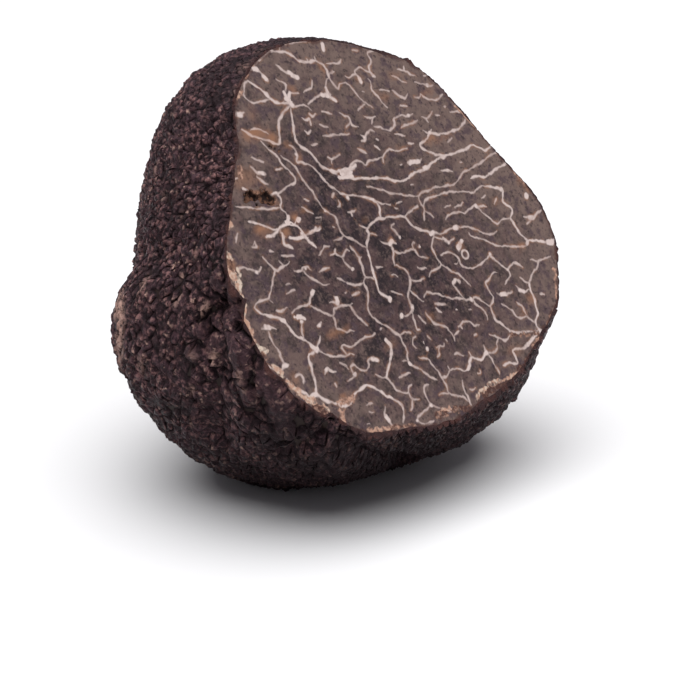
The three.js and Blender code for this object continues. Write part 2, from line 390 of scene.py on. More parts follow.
# ---------------------------------------------------------------------------------------------
# The veins. Pale threads run through the dark flesh and show on the cut as a branching web with
# knots, short flecks and stained patches. Each is placed on the cut by (right, up) from its
# middle, in millimetres.
# ---------------------------------------------------------------------------------------------
BOLD_VEINS = [
    # the upper left, down to the large knot
    [(-9.5, 21), (-9.7, 20), (-10.1, 18.5), (-10.6, 17), (-10.7, 16.3), (-10.1, 15.3), (-9.2, 14.5),
     (-8.4, 13.2), (-8, 12.3), (-7.4, 11.6), (-6.3, 10.9), (-5.4, 10.3)],
    [(-19.6, 19.3), (-18.5, 18.5), (-17.3, 17.8), (-15.5, 17), (-14.1, 16.3), (-13.6, 16.6), (-13.2, 17.7),
     (-12.4, 19.3), (-11.5, 20.2), (-10.6, 20.8), (-9.6, 21.3)],
    [(-15.3, 25.9), (-14.2, 25), (-13.2, 24), (-12.5, 22.9), (-12, 22.3), (-10.8, 21.8), (-9.6, 21.7)],
    [(-13, 28), (-10.7, 29.2), (-9.4, 29.5), (-7.8, 29.3), (-6.3, 28.8), (-5.6, 28.2), (-5, 27.6),
     (-4, 27.2), (-2.9, 27), (-1.8, 26.9), (-0.9, 26.6), (-0.5, 25.9), (-0.3, 25.2), (-0.4, 24.2)],
    # from the large knot to the right-hand edge
    [(-4.6, 9.9), (-2, 9), (0.5, 8.6), (2.6, 8.3), (4, 8), (5, 7.4), (6, 7.1), (7.5, 7.3), (9.3, 7.8),
     (11.8, 8.1), (14, 8.9), (16.5, 9.2), (19.5, 9.4), (21.5, 9.6), (23, 9.9), (23.8, 9.6), (24.8, 8.9),
     (25.6, 8.7), (27.6, 9.4)],
    [(21, 12.8), (19, 12.6), (17.2, 12.6), (15.4, 13.1), (14.4, 12.4), (13.4, 12.2), (12.6, 12),
     (12.5, 11.5), (13, 10.9), (14.2, 10.1), (15.6, 9.5), (17.5, 9.3)],
    [(20.1, 5), (21.5, 5.1), (23, 4.8), (24.6, 5), (26, 5.6), (27.5, 5.8), (29.2, 5.8)],
    [(23.2, 3.3), (24.5, 2.7), (26, 2.4), (25.6, 1.3), (25.1, 0.5), (25.5, -0.1), (26.3, -0.8),
     (26.4, -1.4), (25.8, -1.9), (25.3, -2.3), (25.6, -3.1), (25.9, -4), (26.2, -5), (26.9, -5.7),
     (27.3, -6.3)],
    [(26.7, -7), (27.3, -6.3), (28.4, -6.5), (29.9, -6.9), (31.3, -7.3), (33.6, -7.3)],
    # the middle
    [(-5, -1), (-4.5, -0.1), (-3.6, 0.8), (-3.6, 1.6), (-2.4, 2.2), (-1, 2.6), (0.3, 2.5), (2, 2.4),
     (3.3, 2.2), (4.2, 1.9), (4.8, 0.9), (5.5, 0.1), (6.6, -0.5), (7.9, -1), (8.6, -1.3), (9.5, -1.5)],
    [(-2.6, 6.5), (-1, 5.8), (-0.3, 5.3), (0, 4.6), (0, 3.8), (-0.4, 2.7)],
    [(-5, -1), (-5, -2.2), (-5.3, -3.5), (-5.4, -5), (-5.5, -6.3), (-5.5, -7.4), (-4.8, -8.2),
     (-4.2, -8.9)],
    # the lower left
    [(-28.1, -4.8), (-27.6, -5.6), (-26.4, -6.3), (-25.2, -6.9), (-24.2, -7.6), (-23.6, -8.6), (-23, -9.9),
     (-22, -10.6), (-21.3, -11.2), (-20.7, -12.2), (-20.2, -12.6)],
    [(-20.4, -12.6), (-21.4, -13), (-22.1, -13.2), (-22.2, -14.3), (-22.5, -15.8), (-22.8, -17.2),
     (-23.2, -18.3)],
    [(-27.2, -15.2), (-27.2, -15.8), (-26.4, -16.6), (-25.4, -17.4), (-24.4, -18.3), (-23.3, -18.4),
     (-22.2, -19.3), (-21, -20), (-20, -20.5), (-19, -20.9), (-18, -20.8), (-17.3, -20.6), (-16.3, -19.8),
     (-15, -19.6), (-13.9, -19.4), (-12.9, -20), (-11.9, -20.8), (-11.2, -21.5), (-10.2, -22.3)],
    # the lower right
    [(12.8, -22.9), (14, -22.9), (15, -23.3), (15.9, -23.4), (16, -22.4), (15.7, -21.6), (16.3, -21.3),
     (17.6, -21.5), (19, -21.4), (20.3, -20.8), (21.8, -20.3), (23.2, -20)],
    [(14.6, -14.1), (14.6, -15.3), (14.8, -16.3), (15.7, -17.2), (16.4, -18.1), (16.9, -18.7),
     (18.2, -19.1), (19.7, -19.3), (21.2, -19.7), (22.4, -19.8), (23.2, -19.9)],
    [(24.3, -12.6), (24.1, -13.8), (24.2, -15.2), (23.9, -16.5), (23.7, -17.3), (22.8, -18.2),
     (22.4, -18.8), (22.7, -19.6)],
    [(-7, -14.9), (-7, -15.4), (-7.7, -16.6), (-8.6, -17.6), (-9.4, -18.5), (-9.9, -19.2)],
    [(4.8, -21.9), (5.9, -21.8), (6.6, -21), (7.4, -20.4), (8, -20.7), (9, -21.1), (9.8, -20.7),
     (10.5, -20.3)],
]
FINE_VEINS = [
    # the upper left
    [(-17, 24.1), (-16.7, 23.3), (-15.6, 22.7), (-14, 22.7), (-12.5, 22.8)],
    [(-16.9, 24.2), (-16.2, 25.4), (-15.3, 25.9)],
    [(-16.9, 17.1), (-15.8, 15.6), (-14.9, 14.3), (-14.4, 13.1), (-13.8, 12.3), (-13.3, 11.3),
     (-13.6, 10.5), (-14.7, 10.3), (-15.8, 9.9), (-17.3, 9.5), (-17.1, 8.6), (-17.6, 7.5), (-17.1, 6.7),
     (-16.9, 6)],
    [(-14.3, 14.7), (-13.2, 13.6), (-12.4, 12.3), (-11.9, 10.5), (-11, 8.8), (-10.9, 7.5), (-10.3, 6.2),
     (-9.3, 5.1), (-8.5, 4.4), (-8.6, 3), (-8.4, 1.7), (-7, 0.8), (-5.8, -0.3), (-5, -1)],
    [(-12.2, 15.8), (-11.5, 15.2), (-11.4, 14.2), (-11.8, 13.3), (-11, 13), (-9.5, 12.3), (-8.7, 11.2),
     (-8.1, 9.9), (-7.3, 8.7), (-6.2, 7.7), (-5.3, 7.2), (-4.2, 6.9), (-2.6, 6.5)],
    [(-8.8, 21.1), (-7.6, 21.1), (-6.5, 20.8), (-5.9, 20.2)],
    [(-6, 21), (-4.9, 21.5), (-3.5, 21.9), (-2.2, 22)],
    [(-1.6, 23.2), (-1, 23.9), (-0.4, 24.2), (-0.2, 23.6), (0.3, 22.7), (0.8, 22.4), (1.3, 22.9),
     (2.2, 23), (2.8, 22.7), (3.4, 21.5), (4.2, 20.4), (5, 19.5), (5.8, 18.7)],
    [(4.6, 19.4), (3.6, 19.1), (2.9, 18.5)],
    [(-9.2, 23.6), (-8.8, 24.4), (-9.5, 25), (-10.1, 25.5)],
    [(-7.6, 29.6), (-7.2, 30.1), (-5.5, 30.1), (-3, 30.2), (-0.5, 30)],
    [(-6.1, 22.8), (-5, 23.1), (-4.2, 23.5), (-3.6, 24.3)],
    [(-17.9, 19.2), (-16.3, 18.8), (-15, 17.9)],
    [(-25.3, 9.3), (-24, 8.8), (-22, 8.3), (-20, 7.8), (-17.8, 7.5)],
    # the top
    [(2.8, 24.1), (3.4, 23.7), (4.2, 23.9), (4.9, 23.9), (5, 24.4), (5.6, 24.8), (6.3, 24.9), (7.1, 24.3),
     (7.8, 24), (8.2, 23.2), (8.6, 23)],
    [(7.8, 24), (8.1, 24.8), (8.8, 25.4), (8.8, 26.2), (8.9, 26.8), (9.8, 27), (10.8, 27)],
    [(0.1, 26.2), (1.5, 26.2), (2.4, 26), (3.2, 26.7)],
    [(7, 23), (7.3, 22.3), (7, 21.4), (7.3, 20.7), (7.8, 20), (8.2, 19), (8.8, 18.2)],
    [(-1, 18.9), (-0.1, 18.3), (0.6, 17.8), (0.6, 17), (1.1, 16.4), (1.8, 16.2)],
    [(-5.4, 16.1), (-3.5, 15.9), (-2, 15.8), (-0.4, 15.5)],
    [(4.8, 15.8), (5.8, 15.7), (6.4, 15.2), (7.3, 14.9), (8.3, 15.2), (9, 15.7), (9.2, 16.4), (10, 16.5),
     (11, 16.7), (12.2, 16.3)],
    [(2.3, 14.6), (3.2, 15.2), (3.8, 15.5), (4.5, 15)],
    [(-2.4, 10.9), (-1.7, 11.3), (-0.9, 11.5), (-0.2, 11.2), (0.5, 10.6), (1.3, 11.1), (2.5, 11.1),
     (3.8, 11.1), (4.5, 11.2), (5.2, 11.8), (6.1, 12.2), (7, 11.7), (7.4, 11.6), (8.5, 11.7), (9.8, 11.7)],
    [(11.9, 22.8), (12.8, 22.2), (13.8, 21.6), (14.4, 21.3)],
    [(13.4, 23.6), (14.8, 23.1), (15.9, 22.4), (16.8, 22)],
    [(16.4, 19.2), (17, 18.5), (18, 18), (19.5, 18), (20.8, 18.4)],
    [(16, 21.1), (17.5, 20.7), (18.6, 20.1), (19.5, 20.2)],
    [(14.8, 15.9), (15.6, 15.4), (16.5, 15.8), (17.4, 16.3)],
    [(10, 14.9), (11.5, 15.1), (13, 15.3), (13.8, 15.5)],
    [(24.8, 14.5), (23.6, 14), (22.5, 13.2), (21, 12.8)],
    # the right
    [(-0.9, 7.5), (0.5, 7.1), (2.2, 6.4), (3.6, 5.7), (5.5, 5.2), (7.2, 4.7), (8.3, 4.5), (9.5, 4.8),
     (11, 4.9), (13, 5), (15.5, 4.8), (16.8, 5), (17.8, 5.5), (18.8, 6.1), (20, 6.4), (22.5, 6.8),
     (24.5, 7.3), (26, 7.7), (28.2, 8.1)],
    [(8.3, 4.5), (8.4, 3.5), (8.7, 2.6), (8.6, 2), (8.2, 1.5), (7.8, 0.8)],
    [(8.7, 2.6), (9.4, 3.4), (10.3, 3.7), (12.5, 3.9), (14.5, 3.9), (16.5, 3.6), (18.5, 3.2), (19.8, 2.9),
     (20.6, 3.1), (21.8, 3.5), (23.2, 3.3)],
    [(8.7, 2), (9.4, 1.3), (10, 0.8)],
    [(25.3, -2.3), (23.8, -2.1), (22.4, -2.6), (21.8, -2.3), (20.8, -1.2), (20.1, -0.3), (19.4, 0.7),
     (18.6, 0.9), (17.6, 0.6), (16.4, 0.2), (15.4, 0.6), (13.6, 0.6), (12.6, 0.4), (12.1, 0)],
    [(9.5, -1.5), (10.4, -1.8), (11.5, -1.6), (13.2, -1.4), (14.8, -1.6), (16.2, -1.9), (17.5, -2.6),
     (18.7, -3.4), (19.8, -3.8), (20.7, -3.9), (21.5, -3.6)],
    [(15.8, -2.8), (16.1, -3.4), (17.2, -3.9), (18.4, -4.5), (19.6, -5.3), (20.9, -5.8), (22.3, -6.2),
     (23.7, -6.6), (25.2, -6.9), (26.7, -7)],
    [(4.2, 1.9), (5.2, 2.4), (6.4, 2.8), (7.6, 3)],
    [(8.4, -1.3), (8.5, -2), (7.9, -2.6), (7.3, -3.3), (7.4, -4.3), (7.6, -5.3), (7.9, -6.2), (6.8, -6.5),
     (5.6, -6.8), (4.7, -7.3)],
    [(7.9, -6.2), (8.8, -6.9), (9.8, -7.6), (10.8, -8.4), (11.5, -9.4), (12.4, -10.5)],
    [(8.5, -2), (9.2, -2.2), (10.2, -2.7), (11, -3.3)],
    [(8.6, -4.9), (9.4, -4.7), (10.2, -4.6), (10.8, -5), (11.7, -5.8), (11.9, -6.5), (11.8, -7),
     (12.5, -7.6), (14, -7.9), (15.8, -7.8), (16.8, -7.4), (18.1, -6.9), (18.5, -6.7)],
    [(18.2, -6.9), (19.2, -7.9), (20.2, -9), (20.8, -9.6), (20.9, -10.5), (20.3, -11.1), (19.2, -11.6)],
    [(20.8, -9.6), (21.6, -9.3), (22.8, -9), (23.4, -9.3), (24.2, -10)],
    [(18.6, -9.6), (17.6, -9.6), (16.6, -10.1), (15.4, -10.6), (15.2, -11), (15.6, -12.2), (15.8, -13.1),
     (14.7, -14)],
    [(31, -9.7), (29.5, -9.7), (27.9, -9.8), (27.4, -10.6), (26, -11.1), (25, -11.9), (24.3, -12.6)],
    [(26.3, -9.2), (27.1, -9.5), (27.8, -9.8)],
    [(24.3, -12.5), (23.4, -12), (22.8, -11.3)],
    # the middle
    [(-10.5, 1.2), (-9.6, 1.1), (-8.6, 1.6)],
    [(-7.9, 0), (-7.5, -0.8), (-7.1, -1.9), (-7, -3), (-7, -4), (-7, -4.8), (-6.2, -5.1), (-5.6, -5.6)],
    [(-7.1, -4.8), (-7.8, -5.5), (-7.7, -6.6), (-8, -7.6), (-8.6, -8.8), (-8.9, -9.7), (-8.3, -10.7),
     (-7.4, -11.8), (-6.4, -12.5), (-5.8, -13.3), (-4.9, -14.2), (-4.7, -15.2), (-4.4, -16.4),
     (-4.8, -17.7), (-4.7, -18.5), (-3.8, -19.3), (-2.6, -20.4), (-1.6, -21.4), (-0.8, -21.9)],
    [(-4.6, 2.4), (-4.1, 2), (-3.6, 1.6)],
    [(-3.5, 0.9), (-2.9, 0.8), (-2.3, 0.4)],
    [(-0.2, 5.3), (0.8, 4.6), (1.6, 4.4), (2.4, 4.2)],
    [(-11.9, -0.5), (-10.9, -0.5), (-10.1, -1.3), (-9.2, -0.8), (-8.7, -0.6), (-8.2, -0.8)],
    [(-10.1, -1.3), (-9.8, -2.1), (-9.3, -2.9), (-8.9, -3.4)],
    [(-12.3, -3.9), (-11.5, -4.4), (-10.9, -4.8), (-10, -5.4), (-8.8, -5.6), (-7.8, -5.7)],
    [(-2, -0.5), (-1.2, -1), (-0.4, -1.4), (-0.2, -2), (-0.3, -2.5), (-0.7, -3.4), (-1, -4.5)],
    [(-0.7, -4.5), (-0.2, -4.8), (0.4, -5.2), (0.9, -6), (1.1, -6.9), (0.6, -7.9), (0.1, -8.4),
     (-0.6, -9.2), (-0.6, -10.2), (-0.4, -10.7), (-1, -11.4), (-1.9, -11.8), (-2.8, -11.7)],
    [(1.1, -7), (2, -7.4), (3, -7.5), (3.7, -7.4)],
    [(0.3, -8.4), (0.9, -9.4), (1.4, -10), (2, -10.5)],
    [(-1, -11.5), (-1.1, -12.8), (-1.2, -14), (-0.6, -14.3)],
    [(-0.2, -2.4), (0.6, -2.8), (1.4, -3), (2.6, -2.9), (3.8, -2.9), (4.2, -3.7), (4.7, -4.3),
     (5.9, -4.7)],
    [(3.8, -2.9), (3.9, -2.2), (4.3, -2)],
    [(1.9, 1.4), (1.1, 1), (1.4, 0.2), (2, -0.7)],
    [(-3.4, -7.8), (-2.4, -8.4), (-1.5, -8.9)],
    [(2.4, -9.9), (3.2, -9.5), (4.2, -9.7), (5.3, -10.2), (6.5, -10.8), (7.6, -11.4), (8.4, -11.5),
     (9.6, -11.8), (10.6, -12.2), (11.6, -12.3), (11.9, -13.2), (12.8, -14.2), (13.1, -15.1),
     (13.1, -15.9)],
    [(8.9, -9.6), (9.4, -10.6), (9.9, -11.7)],
    [(11.6, -12.3), (12, -12.1), (12.8, -12.4), (13.6, -13.3), (14.6, -14)],
    # the left
    [(-20.4, 1), (-19.6, 0.9), (-18.4, 0.7)],
    [(-23.8, 1.6), (-23.2, 0.6), (-22.4, -0.7), (-21.2, -0.5), (-20.2, -0.3), (-19.5, -0.1)],
    [(-21.3, 0.5), (-20.8, -0.4)],
    [(-22.4, -0.7), (-23.2, -1.5), (-23.8, -2.5), (-24.7, -3.5), (-25.3, -4.1), (-26.4, -4.1),
     (-27.5, -4.3), (-28.2, -4.8)],
    [(-25.3, -4.1), (-24.9, -4.8)],
    [(-28.8, 0.9), (-27.8, 0.9), (-26.8, 0.4), (-25.5, -0.2), (-24.6, 0.3)],
    [(-19.3, -1.4), (-18.2, -1.6), (-17.6, -1.3), (-16.8, -1.4), (-16.2, -1.9)],
    [(-17.8, -1.7), (-17.2, -2.6), (-16.2, -3.6), (-15.2, -4.2), (-14.1, -4.4)],
    [(-17.3, -4.7), (-18.4, -5.6), (-19, -6.4), (-20.3, -6.3), (-21.3, -6.4), (-22.3, -6.8)],
    [(-19, -6.4), (-18, -7.2), (-16.8, -8), (-15.4, -8.8), (-14.7, -8), (-13.6, -7.8), (-12.4, -8),
     (-11.7, -8.2), (-11.3, -9.6), (-10.6, -10.6), (-9.9, -11.5)],
    [(-11.9, -8.2), (-11.2, -7.9)],
    [(-15.4, -8.8), (-15.4, -9.7), (-15.6, -10.6), (-15, -11), (-14, -11.6), (-13.2, -11.4),
     (-12.6, -11.7)],
    [(-21.2, -8.6), (-21.7, -9.6), (-21.9, -10.6)],
    [(-24.8, -5.9), (-24, -6.3), (-22.8, -6)],
    [(-27.4, -8.4), (-27.4, -9.4), (-27.1, -10.5), (-26.8, -11.5), (-26.8, -12.3), (-26.7, -13.3)],
    [(-26, -13.4), (-26.7, -13.5), (-27.6, -13.8), (-28.6, -13.3), (-29.5, -12.5)],
    [(-19.2, 4.5), (-19, 3.6), (-19.2, 2.4), (-18.1, 1.9)],
    [(-15.2, 2.5), (-14.6, 1.6), (-14, 1.1)],
    [(-14.8, 3), (-13.4, 3.3), (-12, 3.6)],
    # the bottom
    [(-20, -12.2), (-19.4, -11.6), (-18.8, -10.9)],
    [(-20, -12.9), (-18.2, -14), (-16.8, -14.4), (-15.7, -14.5), (-14.8, -14.5)],
    [(-15.5, -14.3), (-15.9, -13.5), (-15.2, -13.2), (-14, -13.6), (-12.8, -13.3), (-11, -13), (-9.9, -13),
     (-9.1, -12.9)],
    [(-15.4, -17.6), (-15.6, -16.4), (-14.9, -16.1), (-14.4, -16.6), (-13.7, -17.3), (-13, -17.4),
     (-12.4, -16.9), (-12.1, -16.2), (-11, -16.1), (-10.3, -16.5)],
    [(-17.2, -15.2), (-16.5, -15.7), (-16.1, -16.5)],
    [(-17, -18), (-16, -17.8), (-15.3, -17.7)],
    [(-10.2, -22.3), (-9.3, -23.2), (-9, -24.2), (-9.4, -25.2), (-9.9, -25.9)],
    [(-11.6, -18.4), (-11, -19), (-9.9, -19.2), (-9.4, -20.2), (-9, -21.3), (-8.1, -21.8), (-7, -22.2),
     (-6.7, -21.6), (-5.9, -21.3)],
    [(-7, -22.2), (-6.6, -23.3), (-5.5, -23.7)],
    [(-6.6, -23.3), (-7.2, -24.2), (-7.7, -24.7)],
    [(-4.9, -14.2), (-3.8, -14), (-2.5, -14.3)],
    [(-4.8, -18), (-6, -17.8)],
    [(-2.7, -18), (-1.7, -18.4), (-1, -18.8), (-0.5, -19.9), (0.1, -21), (0.2, -21.7), (0.5, -23),
     (0.6, -24.2), (1.5, -24.9), (2.6, -25.3), (3.4, -26.1)],
    [(0.2, -21.7), (1.3, -21.7), (2.1, -21.2), (3.3, -21.1), (4.2, -21.3), (4.8, -21.9)],
    [(-1.4, -23.9), (-0.2, -24.1), (0.6, -24.3)],
    [(-1.9, -15), (-2.6, -15.2), (-2.8, -16), (-2.6, -16.6)],
    [(1.7, -12.2), (2, -13.2), (2.3, -13.9), (3.4, -14.5), (4.3, -15.1), (4.9, -15.9), (5.2, -16.4),
     (5.1, -17.3)],
    [(5.2, -16.5), (6, -16.4), (6.6, -16.2)],
    [(6.8, -15.6), (7.6, -15.3), (8.2, -15), (9.2, -15.4), (10, -16.1), (11, -16.1)],
    [(1.2, -17.4), (2, -17.3), (2.8, -17.6), (3.1, -17.1)],
    [(2, -17.3), (1.6, -17.9), (1.4, -18.6), (0.8, -18.8)],
    [(4.1, -19.2), (4.7, -19.1), (5.3, -19.6), (5.8, -19.9)],
    [(2.1, -21.2), (1.9, -20.5)],
    [(7.4, -20.3), (7.1, -19.5)],
    [(10.4, -20.2), (10.4, -19.2)],
    [(3.9, -23), (3.7, -23.9), (3.5, -24.8), (3.7, -25.8), (3.7, -26.9)],
    [(-7.3, -26.5), (-6.7, -25.8), (-5.8, -25.5), (-4.6, -25.3), (-3.7, -25), (-3, -25.3), (-2.3, -25.7)],
    [(-7.3, -26.5), (-6.7, -27), (-5.6, -27.2), (-4.2, -27.1)],
    [(-3.7, -25), (-3.9, -24), (-4, -23), (-3.8, -22.2), (-2.7, -22)],
    [(-12, -26), (-12.3, -25), (-12.6, -24), (-12.1, -23)],
    [(16.8, -18.8), (16.3, -19.2), (15.3, -19.6), (14.5, -19.4), (13.8, -18.9), (13.2, -18.4),
     (12.3, -18)],
    [(13.8, -19.1), (13.1, -19.6), (12.9, -20.4), (12, -20.6), (10.6, -20.6)],
    [(10.6, -20.8), (11, -21.5), (11.3, -23), (11.5, -24.2)],
    [(17.1, -14.4), (17.9, -15), (18.6, -15.8), (19.1, -16.8), (20.3, -17.2), (21.3, -17.4), (22, -18.2),
     (22.4, -18.8)],
    [(20.2, -14.8), (20.9, -15.5), (21.2, -16.4), (21.4, -17.3)],
    [(16.9, -12.7), (18, -13.1), (19.2, -13.1), (20.3, -13)],
    [(21.3, -12.4), (21.9, -13.2), (22.8, -13.6), (23.8, -13.3)],
]
FLECKS = [
    # the top, from left to right
    [(-19.4, 21.9), (-19, 21.3), (-18, 21.6)], [(-19.5, 15.3), (-17.7, 14.2)],
    [(-20.1, 13.9), (-19.3, 12.9), (-18, 12.5)], [(-19.7, 12.4), (-19, 11.4), (-18.4, 11.1)],
    [(-24.3, 13), (-23.2, 12.8)], [(-16, 12.8), (-14.9, 12.9)],
    [(-14.4, 27.8), (-13.2, 27.3), (-12.3, 26.6)], [(-12, 26), (-11.7, 25.3)],
    [(-9.3, 27.5), (-8.6, 26.8), (-7.6, 26), (-6.7, 25.5), (-5.9, 25.1)], [(-8.6, 23.1), (-7.1, 22.9)],
    [(-3, 27), (-3.2, 27.7)], [(-1.9, 26.9), (-1.6, 27.6)], [(0.7, 29.4), (0.6, 28.2)],
    [(0, 24.9), (0.9, 25)], [(-7.9, 19.2), (-7.4, 18.8), (-6.8, 18.9), (-6.9, 18)],
    [(-8.5, 17.4), (-7.9, 16.9), (-7.2, 17.3)], [(-6.5, 19.7), (-6, 19.2), (-5.2, 19.5)],
    [(-4, 19.6), (-3.3, 19.3), (-2.4, 19)], [(-5.2, 17.9), (-4.6, 17.4), (-4, 17.2)],
    [(-8.1, 15.1), (-6.9, 15.2)], [(-6, 13), (-5.4, 12.6), (-4.6, 12.8), (-3.6, 13)],
    [(-5.4, 12.6), (-5.6, 12)], [(0.6, 17), (-0.6, 16.7)], [(0, 13.2), (0.8, 12.7), (1.5, 12.2)],
    [(1.6, 15.1), (2.3, 14.6), (2.2, 14.2), (1.4, 14.2)], [(4.3, 14), (4.7, 13.8)],
    [(3.4, 13.1), (4, 12.7), (4.3, 12.4)], [(3.6, 17.6), (4.6, 17.3), (5.8, 17.2)],
    [(5.3, 17.1), (4.5, 16.3)], [(4.9, 23.9), (5.3, 23.3), (5.4, 22.8)], [(5.9, 27.7), (7, 27.4)],
    [(8.5, 21), (9.6, 20.8), (10.4, 20.6)], [(8.3, 14.1), (9.3, 13.9), (10.2, 13.5)],
    [(4.3, 11.1), (4.1, 10.4)], [(5.1, 21.3), (5.3, 21.2)],
    [(11, 20.6), (11.6, 20), (12.2, 19.4), (13, 19.2), (13.8, 19.6)],
    [(14.9, 18.9), (15.9, 18.8), (16.4, 19.2)], [(14.8, 23.1), (15.1, 23.8)], [(18.4, 21.9), (19, 21.7)],
    [(11.4, 18.1), (12.8, 17.9)], [(11.4, 16.5), (12.4, 16.3), (13.4, 16.5)], [(15.6, 15.4), (15.8, 14.9)],
    [(17.8, 15.6), (18.6, 15.4)], [(20.2, 16.6), (20.5, 16.6)], [(21, 15.6), (22.4, 15.5), (23.4, 15.1)],
    [(14.1, 13.8), (15.2, 13)], [(15.9, 13.6), (15.4, 13)], [(18.2, 11.2), (19.4, 11.8)],
    [(10.3, 12.3), (11.3, 12.2)], [(7.2, 9.4), (7.5, 9.5)],
    [(8.7, 9.6), (9.8, 9.4), (11, 9.4), (11.8, 9.7)],
    # the middle, from left to right
    [(14.8, 7.3), (16.1, 7.1), (17, 6.8)], [(12.6, 1.7), (13.3, 1.9), (14, 1.9)],
    [(14.8, 1.4), (16, 1.5), (16.9, 1.9)], [(20.9, 1.7), (22, 2.1)],
    [(19.4, 0.8), (20.5, 0.6), (21.4, 0.4)], [(10.2, -2.4), (11, -3.2), (12.4, -2.9)],
    [(12.5, -4.9), (12.9, -4.1), (13.7, -3.6)],
    [(28.3, -2.6), (29.3, -2.9), (30.4, -3.1), (31, -2.8), (32.5, -2.4)], [(28.3, -3.8), (29.5, -3.6)],
    [(30.2, 0.1), (30.7, 0.4)], [(23, 0.3), (24, 1.1)], [(-27.3, 4.4), (-26.9, 5), (-26.4, 5.5)],
    [(-25, 3.2), (-24.2, 3.1), (-24.2, 3.9)], [(-22.2, 2.1), (-21.5, 1.8)], [(-13, 8), (-12.2, 7.5)],
    [(-14, 7), (-13, 6.2), (-12.3, 5.6)], [(-12.2, 4.9), (-11.2, 4.9)], [(-9.6, 3.2), (-9.4, 3.2)],
    [(-7.9, 7.2), (-7.3, 7.7)], [(-6.9, 6.6), (-6.9, 6), (-7.5, 5.7)], [(-5.1, 7), (-5.1, 6.3)],
    [(-6, 4.5), (-5, 4.6), (-4.5, 4.7)], [(-5.3, 4.5), (-5.3, 4)], [(3, 3.5), (3.6, 3.3)],
    [(3.8, 4.2), (4.9, 4.2)], [(7.8, 6.3), (8.3, 6.3)],
    [(-14, -0.2), (-13, 0.4), (-12.4, 0.8), (-11.5, 0.7)], [(-15, -2.6), (-14.3, -2.3), (-13.1, -2.3)],
    [(-21.9, -4.2), (-20.9, -4), (-20.3, -4.1)], [(-21.5, -2.9), (-20.9, -3)],
    [(-10.8, -6.8), (-9.9, -6.7), (-9.3, -6.8)], [(-11.9, -6.2), (-11.6, -6.2)],
    [(-15.1, -6.9), (-14, -7.1)], [(-14, -6.3), (-13.6, -7.2)], [(-18.8, -9.7), (-17.9, -9.2)],
    [(-28.2, -7.8), (-27.3, -7.7), (-26.4, -8), (-25.9, -8.3)], [(-4.5, -4), (-3.2, -4.3)],
    [(-2.3, -5.7), (-1.7, -5.8), (-1.3, -6.2)], [(3.1, -5.5), (3.7, -6), (4.8, -6.1)],
    [(-10.9, -0.5), (-10.8, 0.1)], [(-7.1, -2.2), (-6.5, -2)], [(8.9, -9.3), (9.6, -8.9), (10.3, -9.4)],
    [(10.7, -6.7), (11.2, -6.7)], [(-0.1, -1), (0.8, -1.4)], [(4.8, -2.7), (5.2, -2.6)],
    # the bottom, from left to right
    [(-25.6, -15.2), (-24.7, -15.1), (-24.4, -15.9), (-24.5, -16.5)],
    [(-20.4, -16), (-19.8, -15.4), (-19.3, -16), (-18.4, -16.3)], [(-19.2, -17.7), (-19.2, -18.3)],
    [(-15.3, -22), (-14, -21.9)], [(-15.2, -22.9), (-14.4, -23.2)],
    [(-7.6, -19.8), (-6.4, -19.6), (-5.5, -19.7)], [(-7.9, -12.5), (-7.7, -12.5)],
    [(-3.5, -12), (-3, -11.5)], [(-0.7, -16), (-0.8, -16.4)], [(-0.5, -17.1), (-0.7, -17.4)],
    [(0.4, -15.4), (0.8, -16.2)], [(0.1, -12.2), (0.4, -12.9), (0.9, -13.7)], [(4, -11.9), (4.6, -12.9)],
    [(4, -11.3), (5.2, -11.7), (6, -11.9)], [(3.7, -16.7), (3.8, -17)], [(9.3, -17.5), (9.8, -17.5)],
    [(7.7, -13.1), (7.9, -13.1)], [(7.2, -22.7), (7.8, -22.9), (8, -22.6)],
    [(4.6, -24.7), (5.4, -24.9), (5.9, -24.7)], [(-1.5, -26.5), (0.5, -26.6)], [(-3, -26.9), (-1.9, -27)],
    [(7.4, -15.5), (7.5, -16)], [(25.8, -14.6), (26.6, -14.9)], [(-16.4, -24.4), (-15.8, -24.5)],
    [(10.2, -13.7), (10.6, -13.8)], [(19.3, 7.8), (19.6, 7.8)], [(-20.3, -22.4), (-20, -22.9)],
    [(-14.2, -14.9), (-14.6, -14.6)],
]
